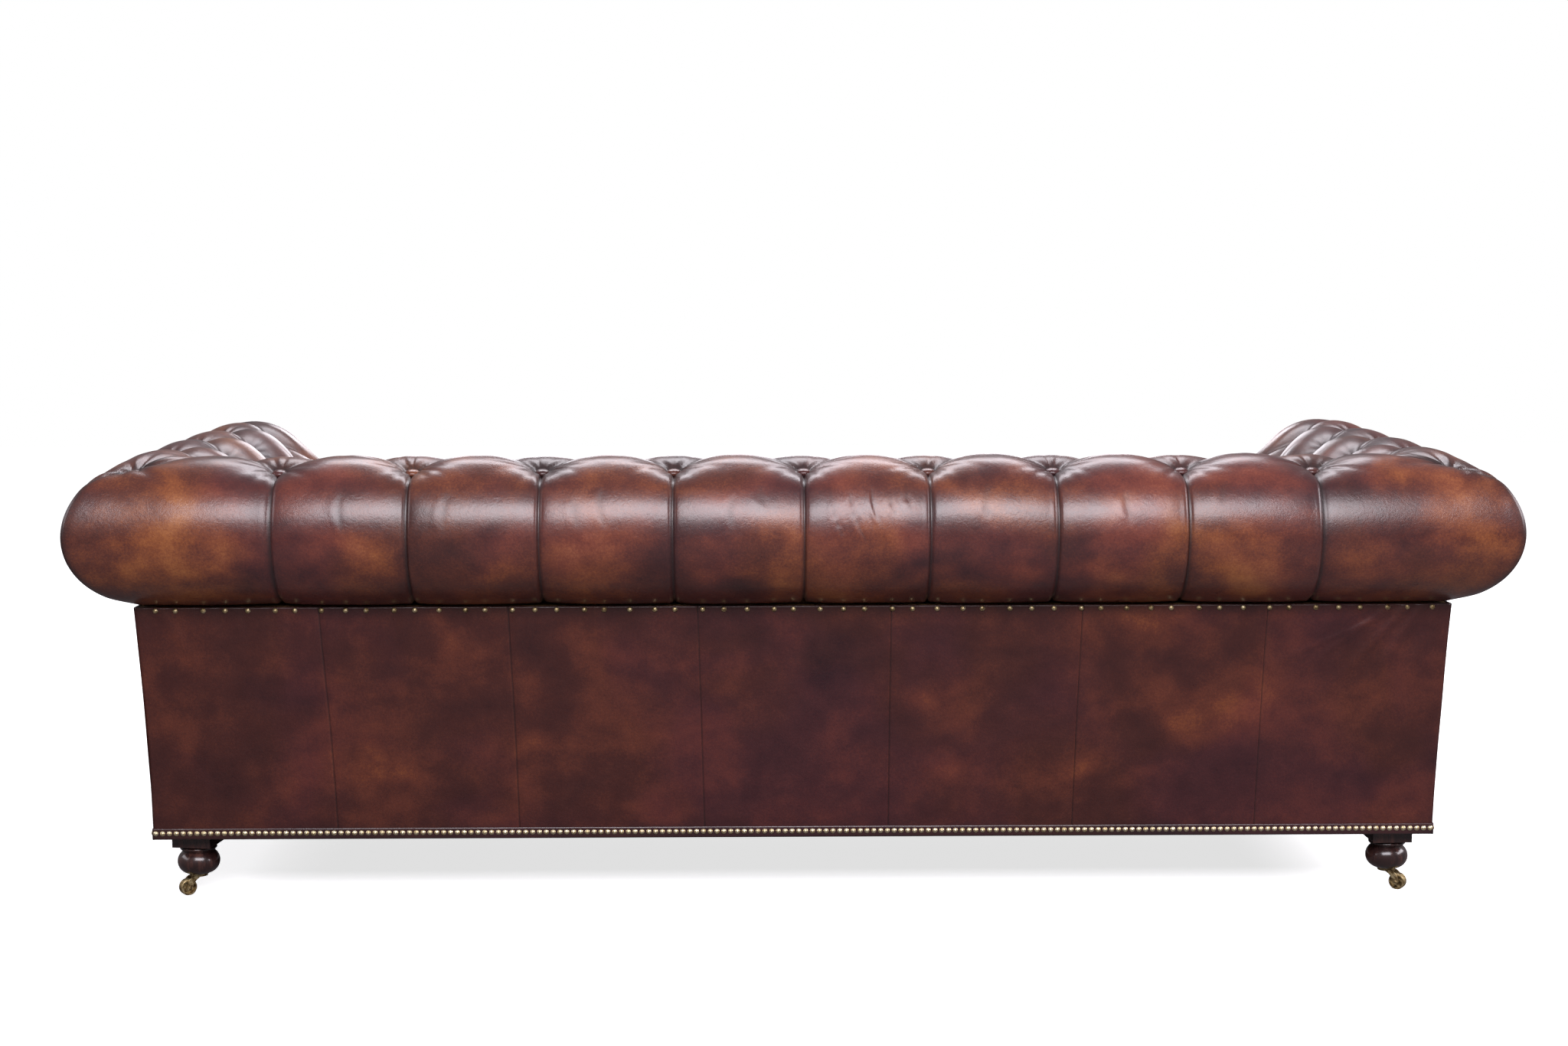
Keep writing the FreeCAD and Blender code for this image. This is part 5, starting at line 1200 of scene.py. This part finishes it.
def swollen(piece, ring, low_seam, high_seam, low, high):
    """Let the cushion fill like a sewn bag and settle in its room."""
    bpy.context.view_layer.objects.active = piece
    for other in bpy.context.selected_objects:
        other.select_set(False)
    piece.select_set(True)
    apply_modifier(piece, "even_mesh", "REMESH", mode="VOXEL", voxel_size=VOXEL)
    mesh = piece.data
    rest = places_of(mesh)
    near_ring = np.min(np.hypot(rest[:, None, 0] - ring[None, ::3, 0],
                                rest[:, None, 1] - ring[None, ::3, 1]), axis=1)
    on_edge = (near_ring < 0.014) & ((np.abs(rest[:, 2] - high_seam) < 0.006)
                                     | (np.abs(rest[:, 2] - low_seam) < 0.006))
    held = on_edge | (rest[:, 2] < low_seam + 0.002)
    done = filled(piece, held)
    moved = done - rest
    far = np.linalg.norm(moved, axis=1)
    moved *= (SWELL_CAP * np.tanh(far / SWELL_CAP) / np.maximum(far, 1e-9))[:, None]
    mesh.vertices.foreach_set("co", kept_within(rest + moved, low, high).reshape(-1))
    apply_modifier(piece, "finer", "SUBSURF", levels=1)
    piece.data.shade_smooth()


def cushion_body():
    """The middle cushion, filled; the others are cut to the same pattern."""
    low, high = [Vector(corner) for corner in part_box("centre_seat_cushion")]
    inset = Vector((0.0015, 0.0085, 0.0))
    ring = cushion_ring(low + inset, high - inset, CUSHION_CORNER)
    low_seam, high_seam = low.z + 0.006, high.z - 0.0225
    made = cushion_start("centre_cushion", ring, low.z + 0.0005, high_seam + 0.001)
    swollen(made, ring, low_seam, high_seam, low, high)
    return made, ring, low_seam, high_seam


cushion, seam_ring, low_seam, high_seam = cushion_body()
cushion_middle = Vector(((seam_ring[:, 0].max() + seam_ring[:, 0].min()) / 2,
                         (seam_ring[:, 1].max() + seam_ring[:, 1].min()) / 2, 0.0))
first = places_of(cushion.data) - np.array(cushion_middle)
cushion_faces = [list(face.vertices) for face in cushion.data.polygons]
for name, way in (("left", (-1, 1)), ("centre", (1, 1)), ("right", (-1, -1))):
    low, high = [Vector(corner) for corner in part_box(name + "_seat_cushion")]
    middle = np.array([(low.x + high.x) / 2, (low.y + high.y) / 2, 0.0])
    turned = first * np.array([way[0], way[1], 1]) + middle
    body = cushion if name == "centre" else new_piece(name + "_cushion", turned, cushion_faces)
    fit(body, cushion_leather, "brown_leather", name + "_seat_cushion", body=name + "_cushion")
    pipes = []
    ring = shrunk(seam_ring - seam_ring.mean(axis=0), 0.0022) + middle[:2]
    for seam, up in (("top", high_seam), ("foot", low_seam - 0.001)):
        pipes.append(tube_round(name + "_" + seam + "_piping", [(x, y, up) for x, y in ring], PIPING))
    piping = joined(name + "_cushion_piping", pipes)
    fit(piping, button_leather, "brown_leather", body=name + "_cushion")


# Feet: each a square block, a collar and a bun turned from one piece of hardwood, stained almost
# black-brown and polished. The grain and its cloudy stain show as paler and darker places.
def polished_wood():
    made, tree, surface = new_material(
        "dark_polished_wood", Roughness=0.26, Coat_Weight=0.45, Coat_Roughness=0.12)
    place = add(tree, "TexCoord").outputs["Object"]
    stretched = add(tree, "Mapping", {"Vector": place, "Scale": (6.0, 6.0, 1.0)}).outputs[0]
    grain = add(tree, "TexNoise", {"Vector": stretched, "Scale": 22.0, "Detail": 6.0, "Distortion": 0.6})
    clouds = add(tree, "TexNoise", {"Vector": place, "Scale": 30.0, "Detail": 2.0})
    mixed = maths(tree, "ADD", maths(tree, "MULTIPLY", grain.outputs["Fac"], 0.6),
                  maths(tree, "MULTIPLY", clouds.outputs["Fac"], 0.4))
    colour = shades(tree, mixed, (0.32, paint(30, 18, 18)), (0.50, paint(50, 30, 28)),
                    (0.62, paint(72, 44, 38)), (0.78, paint(96, 62, 52)))
    tree.links.new(colour, surface.inputs["Base Color"])
    raised(tree, surface, grain.outputs["Fac"], 0.00012)
    return made


CORNERS = ("rear_left", "rear_right", "front_left", "front_right")
dress(polished_wood(), *[corner + "_foot" for corner in CORNERS])


# Castors: cast brass horns that swivel in the feet's sockets, and brass axles and wheels, all gone
# dark with use. They are smooth turned and cast forms, so the CAD ones are shown.
castor_brass = brass("castor_brass", 0.60)
dress(castor_brass, "castor_sockets",
      *[corner + "_castor_horn" for corner in CORNERS], *[corner + "_castor_wheel" for corner in CORNERS],
      *[corner + "_castor_axle" for corner in CORNERS])


# Floor and light: a white paper floor that keeps the sofa's own soft shadow. Five soft boxes light
# the sofa as in a dim studio, so that the folds stay dark: one over the side with the camera, one
# over the seat, one low in front, a strong one at its right end and a weak one at its left.
def floor_paper():
    """Paper lit evenly to white for the camera, and dull for what it throws back on the leather."""
    made, tree, surface = new_material("floor_paper", Roughness=1.0, Specular_IOR_Level=0.0)
    seen = add(tree, "LightPath").outputs["Is Camera Ray"]
    paper = blend(tree, seen, paint(120, 118, 118), paint(255, 255, 255))
    tree.links.new(paper, surface.inputs["Base Color"])
    place = add(tree, "TexCoord").outputs["Object"]
    far = add(tree, "VectorMath", {0: place}, operation="LENGTH").outputs["Value"]
    evened = shades(tree, maths(tree, "DIVIDE", far, 6.0),
                    (0.22, (0.74, 0.74, 0.74, 1)), (0.42, (1, 1, 1, 1)))
    tree.links.new(blend(tree, seen, (0, 0, 0, 1), evened), surface.inputs["Emission Color"])
    surface.inputs["Emission Strength"].default_value = 1.0
    return made


SOFT_WHITE = (0.98, 0.94, 1.0)


def soft_box(name, place, aim, wide, high, power):
    lamp = bpy.data.lights.new(name, "AREA")
    lamp.shape = "RECTANGLE"
    lamp.size, lamp.size_y = wide, high
    lamp.energy = power
    lamp.color = SOFT_WHITE
    holder = bpy.data.objects.new(name, lamp)
    bpy.context.collection.objects.link(holder)
    holder.location = place
    holder.rotation_euler = (Vector(aim) - Vector(place)).to_track_quat("-Z", "Y").to_euler()


floor_mesh = bpy.data.meshes.new("floor")
floor_mesh.from_pydata([(-9, -9, 0), (9, -9, 0), (9, 9, 0), (-9, 9, 0)], [], [(0, 1, 2, 3)])
floor = bpy.data.objects.new("floor", floor_mesh)
bpy.context.collection.objects.link(floor)
floor_mesh.materials.append(floor_paper())

soft_box("camera_side_box", (0.0, 3.6, 2.85), (0.0, 0.45, 0.60), 3.6, 1.7, 190)
soft_box("seat_side_box", (0.0, -2.3, 3.8), (0.0, -0.1, 0.5), 3.6, 1.2, 95)
soft_box("front_box", (0.0, -4.6, 1.5), (0.0, -0.4, 0.4), 3.0, 1.0, 34)
soft_box("right_box", (-3.8, 0.6, 1.9), (-1.1, 0.2, 0.6), 3.0, 1.3, 95)
soft_box("left_box", (3.8, 0.6, 1.9), (1.1, 0.2, 0.6), 3.0, 1.3, 34)

world = bpy.data.worlds.new("studio")
bpy.context.scene.world = world
world.use_nodes = True
sky = world.node_tree
ground = sky.nodes["Background"]
rays = add(sky, "LightPath")
mirrored = maths(sky, "MAXIMUM", rays.outputs["Is Glossy Ray"], rays.outputs["Is Transmission Ray"])
level = blend(sky, mirrored, (0.055, 0.055, 0.06, 1), (0.22, 0.22, 0.23, 1))
level = blend(sky, rays.outputs["Is Camera Ray"], level, (1, 1, 1, 1))
sky.links.new(level, ground.inputs["Color"])

camera_data = bpy.data.cameras.new("camera")
camera_data.sensor_width = 36
camera_data.lens = 54.69
camera_data.clip_end = 100
camera = bpy.data.objects.new("camera", camera_data)
bpy.context.collection.objects.link(camera)
camera.location = (0.0801, 4.4912, 1.1561)
YAW, PITCH, TILT = -0.0147, 0.1178, -0.001
ahead = Vector((math.sin(YAW) * math.cos(PITCH), -math.cos(YAW) * math.cos(PITCH), -math.sin(PITCH)))
turned = ahead.to_track_quat("-Z", "Y").to_matrix() @ Matrix.Rotation(TILT, 3, "Z")
camera.rotation_euler = turned.to_euler()
bpy.context.scene.camera = camera
bpy.context.scene.view_settings.view_transform = "Standard"
